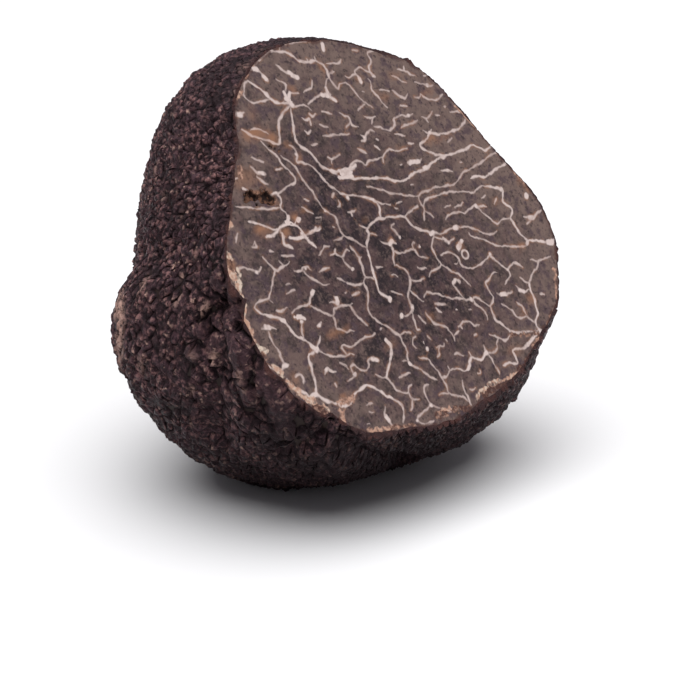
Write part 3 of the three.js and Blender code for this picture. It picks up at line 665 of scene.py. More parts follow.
# Broad stretches, knots where threads meet and blots where they end: half the breadth, and the places
BROAD = [
    (0.66, [(-4.5, 10.3), (-3, 10.1)]), (0.3, [(-4.9, 10.7), (-2.3, 10.6)]),
    (0.28, [(-5.2, 9.7), (-2.8, 9.6)]), (0.16, [(-6.2, 11.1), (-5.2, 10.6)]),
    (0.2, [(-2.2, 10.6), (-1.4, 10.9)]), (0.5, [(-9.5, 22.4), (-9.3, 21.9)]),
    (0.3, [(-9.7, 23.3), (-9.4, 22.5)]), (0.33, [(-9.4, 22), (-9, 21.3)]),
    (0.25, [(-9.3, 22.4), (-8.6, 23.1)]), (0.4, [(-2.1, 21.9), (-1.4, 21.6)]),
    (0.28, [(-1.7, 22.8), (-1.6, 22)]), (0.22, [(-1.3, 21.3), (-0.6, 20.7)]),
    (0.25, [(-2.8, 22), (-2, 21.9)]), (0.5, [(-17.5, 5.2), (-17.1, 5.3)]),
    (0.26, [(-17.2, 5.4), (-16.9, 6.2)]), (0.2, [(-17.6, 5.1), (-18.6, 5)]),
    (0.15, [(-18.5, 5), (-19.3, 4.8), (-20.1, 4.2), (-21.1, 4), (-22, 4.1)]),
    (0.24, [(-21, 4), (-21.8, 4.1)]),
    (0.13, [(-19.2, 4.8), (-20.3, 4.8), (-21.5, 5.5), (-22.6, 6.2), (-23.9, 6.7)]),
    (0.22, [(-22.6, 6.2), (-23.4, 6.5)]),
    (0.15, [(-17, 5), (-16, 4.5), (-15.2, 3.3), (-14.8, 2.2), (-14, 0.9)]),
    (0.26, [(-15.6, 3.3), (-14.9, 2.5)]), (0.24, [(-17.9, 3.2), (-16.8, 2.8), (-15.5, 2.8)]),
    (0.13, [(-19, 4.2), (-19.1, 3.3), (-19.1, 2.5), (-18, 1.7)]), (0.26, [(-15.5, 5.2), (-15.1, 5.4)]),
    (0.16, [(-14.1, 3.2), (-13.3, 3.3), (-12.1, 3.3)]), (0.14, [(-13.3, 3.3), (-12.7, 3.7)]),
    (0.18, [(-17.5, 9.7), (-18.4, 9.5)]), (0.14, [(-22.2, 11), (-22.9, 11.4)]), (0.45, [(-20.3, -12.6)]),
    (0.28, [(-21, -12), (-20.4, -12.5)]), (0.28, [(-24.4, -7.4), (-24, -7.7)]),
    (0.36, [(-21.6, -7.6), (-20.9, -7.8)]), (0.24, [(-20.9, -7.8), (-20.5, -8.1)]),
    (0.22, [(-22.1, -7.5)]), (0.24, [(-21.2, -8.4)]), (0.32, [(-17.8, -5.1), (-17.4, -4.8)]),
    (0.36, [(-13.8, -7.2), (-13.7, -6.7)]), (0.33, [(-27.4, -7.7), (-27, -7.8)]),
    (0.28, [(-26.9, -13.4), (-26.4, -13.4)]), (0.4, [(-19.5, -20.8), (-18.2, -20.8)]),
    (0.33, [(-24.1, -18.5), (-23.3, -18.4)]), (0.32, [(-7, -15.1), (-7.5, -14.2)]),
    (0.3, [(-4.3, -9), (-4.1, -8.8)]), (0.25, [(-4.8, -18.3), (-4.6, -18.6)]), (0.3, [(-8.9, -3.3)]),
    (0.3, [(-0.5, -10.8)]), (0.4, [(-3, -11.6)]), (0.24, [(-3.6, 1.3)]), (0.3, [(0.3, -1), (-0.3, -1.4)]),
    (0.3, [(8.2, -1.4), (8.7, -1.3)]), (0.36, [(19.2, 0.8)]), (0.4, [(13.3, -1.5), (13.6, -1.5)]),
    (0.4, [(12.6, -4.4), (13, -4.1)]), (0.25, [(13.1, -3.9), (13.8, -3.7)]), (0.28, [(11, -3.3)]),
    (0.36, [(9.2, 9.5), (10.9, 9.4)]), (0.27, [(16.1, 7.1)]), (0.3, [(15.3, 13.2)]), (0.3, [(18.4, 20.3)]),
    (0.27, [(12.4, 16.4)]), (0.3, [(11.2, -12.3)]), (0.38, [(10.4, -20.5)]), (0.27, [(18.5, -6.7)]),
    (0.3, [(16.9, -18.8)]), (0.33, [(22, -19.7), (23, -19.9)]),
    (0.27, [(21.6, -20.4), (20.6, -20.8), (19.2, -21.3)]), (0.3, [(27.1, -6.5)]),
    (0.45, [(31.6, -7.5), (32.4, -7.5)]), (0.38, [(29.5, -3.1), (30.1, -3.2)]),
    (0.42, [(30.5, 0.2), (30.7, 0.5)]), (0.4, [(-6.9, 25.5), (-6.2, 25.2)]),
    (0.3, [(-7.5, 26), (-6.9, 25.7)]), (0.33, [(0.6, 28.5), (0.7, 29.3)]),
    (0.28, [(-19.1, 13), (-18.4, 12.7)]), (0.33, [(-19.2, 21.5), (-18.7, 21.3)]),
    (0.4, [(-13.8, 27.5), (-13, 27.3)]), (0.35, [(-12.2, 26.2), (-12, 25.7)]),
    (0.3, [(17.6, -12.9), (18.6, -13)]), (0.3, [(21.7, -13.2), (22.5, -13.6)]),
    (0.3, [(9, -9.1), (9.5, -9)]), (0.25, [(10.2, -9.3)]), (0.22, [(-0.6, -17.2)]), (0.27, [(-20, -15.6)]),
    (0.27, [(-15.3, -17.5)]), (0.3, [(-11.2, -16.2), (-10.5, -16.4)]), (0.27, [(2.3, 14.5)]),
    (0.24, [(8.3, 23.2)]), (0.3, [(5.3, 23.1), (5.4, 22.8)]), (0.25, [(-25.6, -0.2)]),
    (0.25, [(24.3, -12.8)]), (0.24, [(20.8, -9.6)]), (0.2, [(-17.3, -1.5)]), (0.2, [(2, -0.7)]),
    (0.24, [(25.6, 2.3)]), (0.24, [(-11.5, 14.3)]), (0.22, [(-10, 5.6)]), (0.26, [(-5.1, 6.7)]),
    (0.28, [(-18.4, -9.5)]), (0.3, [(11.6, 8.1), (12.1, 8.2)]), (0.26, [(-3.7, -25)]),
    (0.3, [(-12.4, -25), (-12.5, -24.5)]), (0.22, [(-7.3, -26.4)]),
]
# Stretches along the rim: half the breadth, the colour from rust (0) over tan to cream (1), the places
RIM_BANDS = [
    (0.5, 0.65, [(-27.6, 7.7), (-27.3, 6.8)]), (0.55, 0.75, [(-29.6, 3.3), (-29.1, 2.4)]),
    (0.3, 0.0, [(-29.3, 2.1), (-29.4, 1.5)]), (0.7, 0.6, [(-30, 1), (-29.6, -0.2)]),
    (0.28, 0.95, [(-28.6, 0.7), (-29, -0.6), (-29.4, -1.9)]), (0.4, 0.7, [(-29.7, -1.3), (-29.8, -3.2)]),
    (0.28, 0.75, [(-29.4, -4.1), (-30.2, -5.7)]),
    (0.65, 0.55, [(-30.4, -5.6), (-30.6, -7), (-30.4, -8.4)]), (0.4, 0.45, [(-30.3, -8.4), (-30, -9.6)]),
    (0.42, 1.0, [(-29.8, -10), (-29, -10.7)]), (0.4, 0.2, [(-29.5, -11), (-29.2, -11.7)]),
    (0.35, 0.7, [(-28.4, -13), (-27.6, -14.6)]),
    (0.4, 0.6, [(-27.3, -15.6), (-26.3, -17), (-25.2, -18.3)]), (0.5, 0.7, [(-24.8, -18.6), (-23.9, -19)]),
    (0.6, 0.1, [(-24, -19.8), (-22.9, -21.1)]), (0.25, 0.7, [(-22.6, -19.9), (-22, -21.2)]),
    (0.5, 0.4, [(-19.9, -20.6), (-18.5, -20.5), (-17, -20.5)]),
    (0.25, 0.45, [(-20.2, -21.3), (-19.9, -22.9)]), (0.3, 0.5, [(-16.4, -25.4), (-12.7, -26)]),
    (0.35, 0.25, [(-12.2, -26), (-8.3, -26.8)]), (0.5, 0.15, [(-3.4, -26.6), (-1.2, -26.6), (0.8, -26.7)]),
    (0.25, 0.6, [(-2.4, -26.2), (-0.4, -26.1)]), (0.35, 0.1, [(1.6, -26.8), (3.4, -27)]),
    (0.3, 0.7, [(5.4, -26.2), (6.4, -25.4), (7.9, -25.4)]),
    (0.55, 0.0, [(7, -26.3), (8.6, -25.8), (11, -25.5), (13.5, -25.4)]),
    (0.22, 0.75, [(8.4, -24.9), (10.8, -24.7)]), (0.25, 0.6, [(11, -24.9), (13.2, -25), (15.8, -24.6)]),
    (0.5, 0.0, [(14.5, -25), (16.6, -24.2), (19, -23.2)]), (0.4, 0.3, [(20.1, -22), (22.4, -20.9)]),
    (0.35, 0.15, [(16.6, -19.1), (19.5, -19.7), (22.4, -20)]),
    (0.3, 0.4, [(30.6, -11.6), (29.9, -13.8), (28.6, -16.1)]), (0.4, 0.1, [(27, -18), (25, -19.6)]),
    (0.45, 0.15, [(-15.8, 26.7), (-13.2, 28.7), (-10.4, 29.8)]),
    (0.3, 0.15, [(-10.4, 30), (-5, 30.6), (0.3, 30.2)]), (0.7, 0.45, [(-18.7, 24.2), (-17.7, 24.6)]),
    (0.45, 0.3, [(-22.4, 14.2), (-22.5, 13)]), (0.25, 0.5, [(22.6, 16.5), (24, 14.5), (25.5, 12.1)]),
    (0.25, 0.3, [(27.9, 8.2), (29.6, 5.4), (30.8, 2.4)]),
]
RIM_WANDER = [(0.9, 0.4), (0.35, 0.3)]
# A small ring of pale growth, as (right, up), its radius and its thread
RING_GROWTH = (13.4, -5.7, 0.65, 0.15)
# The half thickness of a thread in each list, and how pale it is next to the boldest
VEIN_KINDS = [(BOLD_VEINS, 0.175, 1.0), (FINE_VEINS, 0.135, 0.75), (FLECKS, 0.165, 0.8)]
VEIN_STEP = 0.08
# To measure from a line, only every third of its places is needed
LINE_STRIDE = 3
# Each wander is a list of (size, amount), from broad swings to small ones
VEIN_WANDER = [(1.2, 0.2), (0.45, 0.12)]
WANDER_SEED = 5
WANDER_LAYER = 7
VEIN_SWELL = 0.4
VEIN_SWELL_RATES = (2.3, 0.9)
VEIN_END = 0.7
VEIN_END_SHARE = 0.6
VEIN_PALENESS = (0.7, 1.0)
VEIN_BLEND = 0.12
VEIN_REACH = 1.6


def smooth_line(path):
    """Closely spaced places along a smooth curve through the given ones."""
    places = np.array(path, float)
    if len(places) == 1:
        return places
    places = np.concatenate([[2 * places[0] - places[1]], places, [2 * places[-1] - places[-2]]])
    line = []
    for step in range(len(places) - 3):
        length = np.linalg.norm(places[step + 2] - places[step + 1])
        t = np.arange(0, 1, VEIN_STEP / length)[:, None]
        line.append(smooth_between(*places[step:step + 4], t))
    return np.concatenate(line + [places[-2:-1]])


class Growth:
    """Lines of pale growth, each place on them with its half breadth and how pale it is."""

    def __init__(self, lines, halves, pales):
        self.halves, self.pales = np.concatenate(halves), np.concatenate(pales)
        self.tree = KDTree(len(self.halves))
        for number, (right, up) in enumerate(np.concatenate(lines)):
            self.tree.insert((right, up, 0), number)
        self.tree.balance()

    def nearest(self, right, up):
        """Distance outside the nearest place's edge (less than 0 inside), and how pale it is."""
        _, number, away = self.tree.find((right, up, 0))
        return away - self.halves[number], self.pales[number]


lines, halves, pales = [], [], []
quick, slow = VEIN_SWELL_RATES
for paths, half, pale in VEIN_KINDS:
    for path in paths:
        line = smooth_line(path)
        along = np.arange(len(line)) * VEIN_STEP
        from_end = np.minimum(along, along[::-1])
        phase = random.uniform(0, 2 * math.pi)
        swell = 1 + VEIN_SWELL * np.sin(phase + along * quick) * np.sin(2 * phase + along * slow)
        ends = np.clip(VEIN_END_SHARE + (1 - VEIN_END_SHARE) * from_end / VEIN_END, 0, 1)
        lines.append(line)
        halves.append(half * swell * ends)
        pales.append(np.full(len(line), pale * random.uniform(*VEIN_PALENESS)))
threads = Growth(lines, halves, pales)


def steady_growth(stretches):
    """Growth that keeps its breadth and colour along each stretch of (half, pale, places)."""
    lines = [smooth_line(path) for _, _, path in stretches]
    halves = [np.full(len(line), half) for line, (half, _, _) in zip(lines, stretches)]
    pales = [np.full(len(line), pale) for line, (_, pale, _) in zip(lines, stretches)]
    return Growth(lines, halves, pales)


broad = steady_growth([(half, 1.0, path) for half, path in BROAD])
bands = steady_growth(RIM_BANDS)

# Without a seed of its own the wander starts from the clock
noise.seed_set(WANDER_SEED)


def wander(places, *shifts):
    """The places moved about a little, so that nothing drawn on them runs quite true."""
    moved = places.copy()
    for size, amount in shifts:
        swings = [noise.noise_vector((right / size, up / size, WANDER_LAYER)) for right, up in places]
        moved += amount * np.array(swings)[:, :2]
    return moved


def vein_distance(places):
    """Distance outside the edge of the nearest pale growth, less than 0 inside, and how pale it is."""
    distances, pales = np.empty(len(places)), np.empty(len(places))
    for number, (right, up) in enumerate(wander(places, *VEIN_WANDER)):
        from_thread, thread_pale = threads.nearest(right, up)
        from_broad, broad_pale = broad.nearest(right, up)
        meeting = max(2 * VEIN_BLEND - abs(from_thread - from_broad), 0) / (2 * VEIN_BLEND)
        distances[number] = min(from_thread, from_broad) - meeting * meeting * VEIN_BLEND / 2
        pales[number] = thread_pale if from_thread < from_broad else broad_pale
    ring_right, ring_up, ring_size, ring_half = RING_GROWTH
    from_middle = np.linalg.norm(places - [ring_right, ring_up], axis=1)
    from_ring = np.abs(from_middle - ring_size) - ring_half
    return np.clip(np.minimum(distances, from_ring), -1, VEIN_REACH), pales


def band_distance(places):
    """Distance outside the edge of the nearest stretch of the rim, and its colour from 0 to 1."""
    found = np.array([bands.nearest(right, up) for right, up in wander(places, *RIM_WANDER)])
    return np.clip(found[:, 0], -1, VEIN_REACH), found[:, 1]


# ---------------------------------------------------------------------------------------------
# The cut. One stroke of a knife takes the front off. The knife is a block whose flat side has
# finer and finer cells towards the veins, and the lump keeps those cells where it is cut.
# ---------------------------------------------------------------------------------------------
PIT = [(-22.4, 9.9), (-21.3, 9.7), (-20.2, 9.3), (-19.1, 9), (-18.8, 8.8)]
PIT_HALF = 0.85
PIT_RAGGED = [(1.3, 0.8), (0.5, 0.5)]
PIT_DEPTH = 0.8
PIT_SLOPE = 0.3
KNIFE_WIDTH = 72
KNIFE_CELLS = 72
KNIFE_MIDDLE = (1.2, 0.8)
KNIFE_DEPTH = 30
FINER_WITHIN = (1.0, 0.45, 0.2)
RIM_REACH = 3.0


def pit_distance(places):
    """Distance outside the edge of a small pit that was eaten into the flesh by the left edge."""
    ragged = wander(places, *PIT_RAGGED)
    offsets = ragged[:, None] - smooth_line(PIT)[::LINE_STRIDE]
    return np.linalg.norm(offsets, axis=2).min(axis=1) - PIT_HALF


def above_skin(points, skin_radius):
    """How far each point stands out of a skin, and less than 0 inside it."""
    radii = np.linalg.norm(points, axis=1)
    return radii - skin_radius(points / radii[:, None])


bpy.ops.object.select_all(action="DESELECT")
bpy.ops.mesh.primitive_grid_add(x_subdivisions=KNIFE_CELLS, y_subdivisions=KNIFE_CELLS, size=KNIFE_WIDTH,
                                location=(*KNIFE_MIDDLE, 0))
knife = bpy.context.object
bpy.ops.object.transform_apply(location=True)
for within in FINER_WITHIN:
    places = vertex_places(knife.data)[:, :2]
    on_plane = places @ np.array([cut_right, cut_up]) + CUT_DISTANCE * cut_out
    edge = above_skin(on_plane, flesh_radius)
    rim_growth = np.where(np.abs(edge) < RIM_REACH, band_distance(places)[0], np.inf)
    growth = np.minimum(vein_distance(places)[0], rim_growth)
    finer = np.minimum(np.minimum(growth, pit_distance(places)), np.abs(edge)) < within
    knife.data.vertices.foreach_set("select", finer)
    edge_ends = np.empty(len(knife.data.edges) * 2, int)
    knife.data.edges.foreach_get("vertices", edge_ends)
    knife.data.edges.foreach_set("select", finer[edge_ends.reshape(-1, 2)].all(axis=1))
    knife.data.polygons.foreach_set("select", [bool(finer[list(face.vertices)].all())
                                               for face in knife.data.polygons])
    bpy.ops.object.mode_set(mode="EDIT")
    bpy.ops.mesh.subdivide(number_cuts=1)
    bpy.ops.object.mode_set(mode="OBJECT")
bpy.ops.object.mode_set(mode="EDIT")
bpy.ops.mesh.select_all(action="DESELECT")
bpy.ops.mesh.select_mode(type="EDGE")
bpy.ops.mesh.select_non_manifold()
bpy.ops.mesh.extrude_edges_move(TRANSFORM_OT_translate={"value": (0, 0, KNIFE_DEPTH)})
bpy.ops.mesh.edge_face_add()
bpy.ops.mesh.select_all(action="SELECT")
bpy.ops.mesh.normals_make_consistent(inside=False)
bpy.ops.mesh.select_mode(type="VERT")
bpy.ops.object.mode_set(mode="OBJECT")
across, along, outward = vertex_places(knife.data).T
write_points(knife.data, across[:, None] * cut_right + along[:, None] * cut_up
             + (outward[:, None] + CUT_DISTANCE) * cut_out)

# The lump was pressed flat where it lay in the ground
GROUND_WIDTH = 100
bpy.ops.mesh.primitive_cube_add(size=GROUND_WIDTH * MM, location=(0, 0, -GROUND_WIDTH / 2 * MM))
knife.select_set(True)
bpy.ops.object.join()
cutter = bpy.context.object


def take_away(piece, other):
    """Cuts the other shape out of the piece, which is given its own finish later."""
    bpy.context.view_layer.objects.active = piece
    cut = piece.modifiers.new("cut", "BOOLEAN")
    cut.operation = "DIFFERENCE"
    cut.object = other
    cut.solver = "MANIFOLD"
    bpy.ops.object.modifier_apply(modifier="cut")
    piece.data.materials.clear()


take_away(rind, flesh)
take_away(rind, cutter)
take_away(flesh, cutter)
bpy.data.objects.remove(cutter)

# The pit is sunk into the cut, and a crack opens beside a thread. A point lies on the cut when it
# is this close to its plane.
CRACK = [(-15.7, 16.4), (-14.6, 15.6), (-13.4, 14.9)]
CRACK_WIDTH = 0.22
CRACK_DEPTH = 0.5
FACE_TOLERANCE = 0.002

points = read_points(flesh.data)
places = np.stack([points @ cut_right, points @ cut_up], 1)
on_cut = np.abs(points @ cut_out - CUT_DISTANCE) < FACE_TOLERANCE
pit = np.where(on_cut, np.clip(-pit_distance(places) / PIT_SLOPE, 0, 1), 0)
offsets = places[:, None] - smooth_line(CRACK)[::LINE_STRIDE]
from_crack = np.linalg.norm(offsets, axis=2).min(axis=1)
crack = np.where(on_cut, np.clip(1 - from_crack / CRACK_WIDTH, 0, 1), 0)
points -= (PIT_DEPTH * pit + CRACK_DEPTH * crack)[:, None] * cut_out
write_points(flesh.data, points)

# ---------------------------------------------------------------------------------------------
# The colours of the cut. The flesh is dark and mottled, browner towards the rind, the threads
# are cream, and some patches beside them have turned rusty.
# ---------------------------------------------------------------------------------------------
# Rusty patches as (right, up, reach to the right, reach upwards, strength)
STAINS = [
    (-17.3, 18.3, 2.8, 0.9, 1.0), (-14.9, 17.2, 1.2, 1.0, 1.0), (-8, 23.5, 0.7, 0.8, 0.8),
    (-1.3, 25.5, 0.6, 1.6, 0.9), (-22, 12.6, 2.8, 1.6, 0.5), (-22.2, 5.1, 1.6, 0.8, 1.0),
    (-18.4, 4, 1.0, 0.7, 1.0), (-15.8, 5.7, 0.8, 0.7, 1.0), (-20.4, 10.5, 2.2, 0.35, 0.9),
    (-18.2, 8.9, 0.5, 0.8, 0.8), (-28, 7.3, 0.8, 0.8, 1.0), (-14.2, 3.3, 1.0, 0.4, 0.8),
    (-14.6, -11.1, 1.2, 0.6, 0.8), (-16.6, -11.3, 1.4, 0.7, 0.9), (-18.5, -19.8, 1.0, 0.7, 0.9),
    (15.2, 12.1, 1.7, 0.8, 0.8), (18, 12.1, 1.6, 0.4, 0.6), (9, 20, 1.4, 0.7, 0.5),
    (0.2, -1, 0.6, 0.5, 0.9), (25.5, -6.8, 1.0, 0.6, 0.9), (23.3, -15, 0.8, 0.9, 0.8),
    (20.6, -16.5, 1.0, 0.6, 0.4), (-30.3, -7.6, 0.5, 1.6, 1.0), (-29.7, 1.6, 0.6, 1.4, 0.8),
    (31.4, 1.5, 0.7, 1.0, 0.8), (30.5, 3, 0.8, 1.0, 0.6), (23.5, 0.7, 1.0, 0.7, 0.4),
    (-18.7, 9.8, 0.8, 0.8, 0.8), (-20, 24, 1.6, 1.2, 0.6), (12.5, 22.6, 2.0, 0.6, 0.4),
    (-16.5, 21, 0.8, 1.5, 0.4), (-11.2, 13.8, 0.6, 0.8, 0.7), (-13.4, 6.4, 1.0, 0.7, 0.6),
    (-25.7, -15.6, 1.0, 1.2, 0.5), (2.2, -13.2, 0.9, 0.7, 0.5), (-6.9, -15, 0.9, 0.8, 0.5),
    (16, -21.5, 2.0, 0.8, 0.4), (8.5, 11.9, 1.4, 0.4, 0.4), (5.2, 23.4, 1.0, 0.8, 0.5),
    (-10, 5.6, 0.8, 0.6, 0.5), (-7.4, 7.2, 0.7, 0.5, 0.6), (13.2, -4.2, 0.9, 0.7, 0.6),
    (-3.2, 2.9, 0.7, 0.5, 0.6), (18, 19.2, 1.8, 0.6, 0.4), (-12.6, 15.9, 0.9, 0.6, 0.7),
]
STAIN_EDGE = 1.25
STAIN_WANDER = [(1.3, 0.6), (0.5, 0.25)]
# The flesh is paler towards the upper right, and darkest about the middle
PALER_TOWARDS = (0.76, 0.65)
PALER_REACH = 19.5
DARKEST_AT = (-1, -2)
DARKEST_REACH = 13.0


def paint(piece, name, values):
    """Gives each point of the piece a value that its finish reads by name."""
    piece.data.attributes.new(name, "FLOAT", "POINT").data.foreach_set("value", values)


vein, pale = np.full(len(points), VEIN_REACH), np.ones(len(points))
open_flesh = on_cut | (pit > 0) | (crack > 0)
vein[open_flesh], pale[open_flesh] = vein_distance(places[open_flesh])
stain = np.zeros(len(points))
moved = wander(places[open_flesh], *STAIN_WANDER)
for right, up, reach_right, reach_up, strength in STAINS:
    away = np.linalg.norm((moved - (right, up)) / (reach_right, reach_up), axis=1)
    stain[open_flesh] = np.maximum(stain[open_flesh], strength * np.clip(STAIN_EDGE - away, 0, 1))
band, tan = np.full(len(points), VEIN_REACH), np.ones(len(points))
band[open_flesh], tan[open_flesh] = band_distance(places[open_flesh])
paint(flesh, "vein", vein)
paint(flesh, "pale", pale)
paint(flesh, "stain", stain)
paint(flesh, "band", band)
paint(flesh, "tan", tan)
paint(flesh, "surface", above_skin(points, flesh_radius))
paint(flesh, "hollow", np.maximum(pit, crack))
paint(flesh, "outside", (~open_flesh).astype(float))
paint(flesh, "paler_to_upper_right", np.clip((places @ PALER_TOWARDS) / PALER_REACH, 0, 1))
paint(flesh, "darker", np.exp(-(np.linalg.norm(places - DARKEST_AT, axis=1) / DARKEST_REACH) ** 2))


def node(material, kind, inputs, **settings):
    """A new shader node with its settings, each input given a value or joined to another's output."""
    new = material.node_tree.nodes.new("ShaderNode" + kind)
    for name, value in settings.items():
        setattr(new, name, value)
    for name, value in inputs.items():
        if isinstance(value, bpy.types.NodeSocket):
            material.node_tree.links.new(value, new.inputs[name])
        else:
            new.inputs[name].default_value = value
    return new


def attribute(material, name):
    return node(material, "Attribute", {}, attribute_name=name).outputs["Fac"]


def grain(material, size, detail, roughness):
    """Noise whose lumps are about the given size in millimetres."""
    place = node(material, "TexCoord", {}).outputs["Object"]
    inputs = {"Vector": place, "Scale": 1 / (size * MM), "Detail": detail, "Roughness": roughness}
    return node(material, "TexNoise", inputs).outputs["Fac"]


def between(material, value, low, high, start=0.0, end=1.0):
    """Eases a value from start at low to end at high."""
    ends = {"Value": value, "From Min": low, "From Max": high, "To Min": start, "To Max": end}
    return node(material, "MapRange", ends, interpolation_type="SMOOTHSTEP").outputs["Result"]


def patchy(material, grain_size, stretch):
    """A share that comes and goes over a stretch of the grain."""
    return between(material, grain(material, *grain_size), *stretch)


def product(material, first, second):
    return node(material, "Math", {0: first, 1: second}, operation="MULTIPLY").outputs[0]


def blend(material, amount, first, second):
    """A colour between two, where each is a colour or another node's output."""
    colours = {6: first if isinstance(first, bpy.types.NodeSocket) else (*first, 1),
               7: second if isinstance(second, bpy.types.NodeSocket) else (*second, 1)}
    return node(material, "Mix", {0: amount, **colours}, data_type="RGBA").outputs[2]


FLESH_BLACK = (0.018, 0.0112, 0.0135)
FLESH_BROWN = (0.068, 0.039, 0.039)
FLESH_GREY = (0.145, 0.099, 0.085)
FLESH_PLUM = (0.056, 0.035, 0.043)
THREAD_CREAM = (0.53, 0.435, 0.405)
THREAD_DIM = (0.24, 0.162, 0.140)
RUST = (0.235, 0.115, 0.068)
RIM_CREAM = (0.52, 0.42, 0.34)
RIM_TAN = (0.40, 0.235, 0.17)
RIM_RUST = (0.060, 0.026, 0.021)
HOLLOW_BROWN = (0.014, 0.006, 0.0045)
HOLLOW_RUST = (0.17, 0.080, 0.048)
# The mottling, layer on layer: the grain's size in millimetres, detail and roughness, the stretch of
# the grain over which the layer comes in and its share at either end, its colour, and where it lies
FLESH_LAYERS = [
    ((2.6, 3, 0.6), (0.41, 0.57), FLESH_BROWN, None),
    ((1.1, 3, 0.6), (0.52, 0.72, 0, 0.65), FLESH_GREY, None),
    ((2.0, 3, 0.5), (0.36, 0.6, 0.3, 1), FLESH_GREY, "near the rind"),
    ((1.6, 3, 0.5), (0.36, 0.6, 0.3, 0.9), FLESH_GREY, "paler_to_upper_right"),
    ((1.7, 3, 0.6), (0.50, 0.36, 0, 0.8), FLESH_PLUM, None),
    ((0.5, 2, 0.6), (0.5, 0.72, 0, 0.55), FLESH_GREY, None),
    ((0.6, 2, 0.6), (0.46, 0.3, 0, 0.7), FLESH_BLACK, None),
    ((2.2, 3, 0.5), (0.35, 0.6, 0.55, 0.1), FLESH_BLACK, "darker"),
    ((1.8, 2, 0.5), (0.46, 0.7, 0, 0.7), RUST, "beside a thread"),
    ((0.6, 2, 0.5), (0.3, 0.55, 0.75, 1), RUST, "stained"),
]
THREAD_LAYERS = [((1.3, 3, 0.5), (0.5, 0.78, 0, 0.6), THREAD_DIM, None)]
RIM_LAYERS = [((1.4, 3, 0.5), (0.44, 0.58, 0, 0.75), RIM_RUST, "at the rind")]
# Stretches in millimetres from a thread's edge, from the rind's surface and from a rim stretch's edge
BESIDE_THREAD = (0.4, 0.0)
THREAD_EDGE = (0.14, -0.14)
THREAD_STAINED = 0.5
NEAR_RIND = (-12.0, -0.5, 0, 0.75)
AT_RIND = (-0.5, -0.15)
BAND_EDGE = (0.14, -0.16)
BAND_GRAIN = (0.7, 3, 0.5)
BAND_BROKEN = (0.34, 0.5, 0.35, 1)
# The rim goes from rust to tan and from tan to cream over these shares, a little unevenly
TAN_GRAIN = (0.5, 3, 0.5)
TAN_UNEVEN = (0.3, 0.7, -0.2, 0.2)
RUST_TO_TAN = (0.0, 0.55)
TAN_TO_CREAM = (0.5, 1.0)
HOLLOW_GRAIN = (0.8, 3, 0.5)
HOLLOW_PATCHES = (0.47, 0.62)
HOLLOW_EDGE = (0.05, 0.4, 0, 0.96)
FLESH_ROUGHNESS = 0.6
FLESH_GLOSS = 0.22
FLESH_BUMP_GRAIN = (0.3, 3, 0.5)
FLESH_BUMP_STRENGTH = 0.5
FLESH_BUMP_HEIGHT = 0.08
FLESH_SHARP_EDGE = math.radians(40)


def layered(material, colour, layers, where):
    """Lays each layer over the colour in its patches and, where it names one, in its own place."""
    for grain_size, stretch, layer_colour, place in layers:
        share = patchy(material, grain_size, stretch)
        if place:
            share = product(material, where[place], share)
        colour = blend(material, share, colour, layer_colour)
    return colour


cut_flesh = bpy.data.materials.new("cut flesh")
cut_flesh.use_nodes = True
shader = cut_flesh.node_tree.nodes["Principled BSDF"]
vein_edge = attribute(cut_flesh, "vein")
surface = attribute(cut_flesh, "surface")
where = {
    "near the rind": between(cut_flesh, surface, *NEAR_RIND),
    "at the rind": between(cut_flesh, surface, *AT_RIND),
    "paler_to_upper_right": attribute(cut_flesh, "paler_to_upper_right"),
    "darker": attribute(cut_flesh, "darker"),
    "beside a thread": between(cut_flesh, vein_edge, *BESIDE_THREAD),
    "stained": attribute(cut_flesh, "stain"),
}
colour = layered(cut_flesh, FLESH_BLACK, FLESH_LAYERS, where)
cream = blend(cut_flesh, attribute(cut_flesh, "pale"), THREAD_DIM, THREAD_CREAM)
cream = layered(cut_flesh, cream, THREAD_LAYERS, where)
cream = blend(cut_flesh, product(cut_flesh, where["stained"], THREAD_STAINED), cream, RIM_TAN)
colour = blend(cut_flesh, between(cut_flesh, vein_edge, *THREAD_EDGE), colour, cream)
colour = layered(cut_flesh, colour, RIM_LAYERS, where)
uneven = patchy(cut_flesh, TAN_GRAIN, TAN_UNEVEN)
tan = node(cut_flesh, "Math", {0: attribute(cut_flesh, "tan"), 1: uneven}, operation="ADD").outputs[0]
rim_colour = blend(cut_flesh, between(cut_flesh, tan, *RUST_TO_TAN), RIM_RUST, RIM_TAN)
rim_colour = blend(cut_flesh, between(cut_flesh, tan, *TAN_TO_CREAM), rim_colour, RIM_CREAM)
rim_share = product(cut_flesh, between(cut_flesh, attribute(cut_flesh, "band"), *BAND_EDGE),
                    patchy(cut_flesh, BAND_GRAIN, BAND_BROKEN))
colour = blend(cut_flesh, rim_share, colour, rim_colour)
hollow = blend(cut_flesh, patchy(cut_flesh, HOLLOW_GRAIN, HOLLOW_PATCHES), HOLLOW_BROWN, HOLLOW_RUST)
in_hollow = between(cut_flesh, attribute(cut_flesh, "hollow"), *HOLLOW_EDGE)
colour = blend(cut_flesh, in_hollow, colour, hollow)
colour = blend(cut_flesh, attribute(cut_flesh, "outside"), colour, HOLLOW_BROWN)
cut_flesh.node_tree.links.new(colour, shader.inputs["Base Color"])
shader.inputs["Roughness"].default_value = FLESH_ROUGHNESS
shader.inputs["Specular IOR Level"].default_value = FLESH_GLOSS
bumps = node(cut_flesh, "Bump", {"Height": grain(cut_flesh, *FLESH_BUMP_GRAIN),
                                 "Strength": FLESH_BUMP_STRENGTH, "Distance": FLESH_BUMP_HEIGHT * MM})
cut_flesh.node_tree.links.new(bumps.outputs["Normal"], shader.inputs["Normal"])
flesh.data.materials.append(cut_flesh)
bpy.ops.object.select_all(action="DESELECT")
flesh.select_set(True)
bpy.context.view_layer.objects.active = flesh
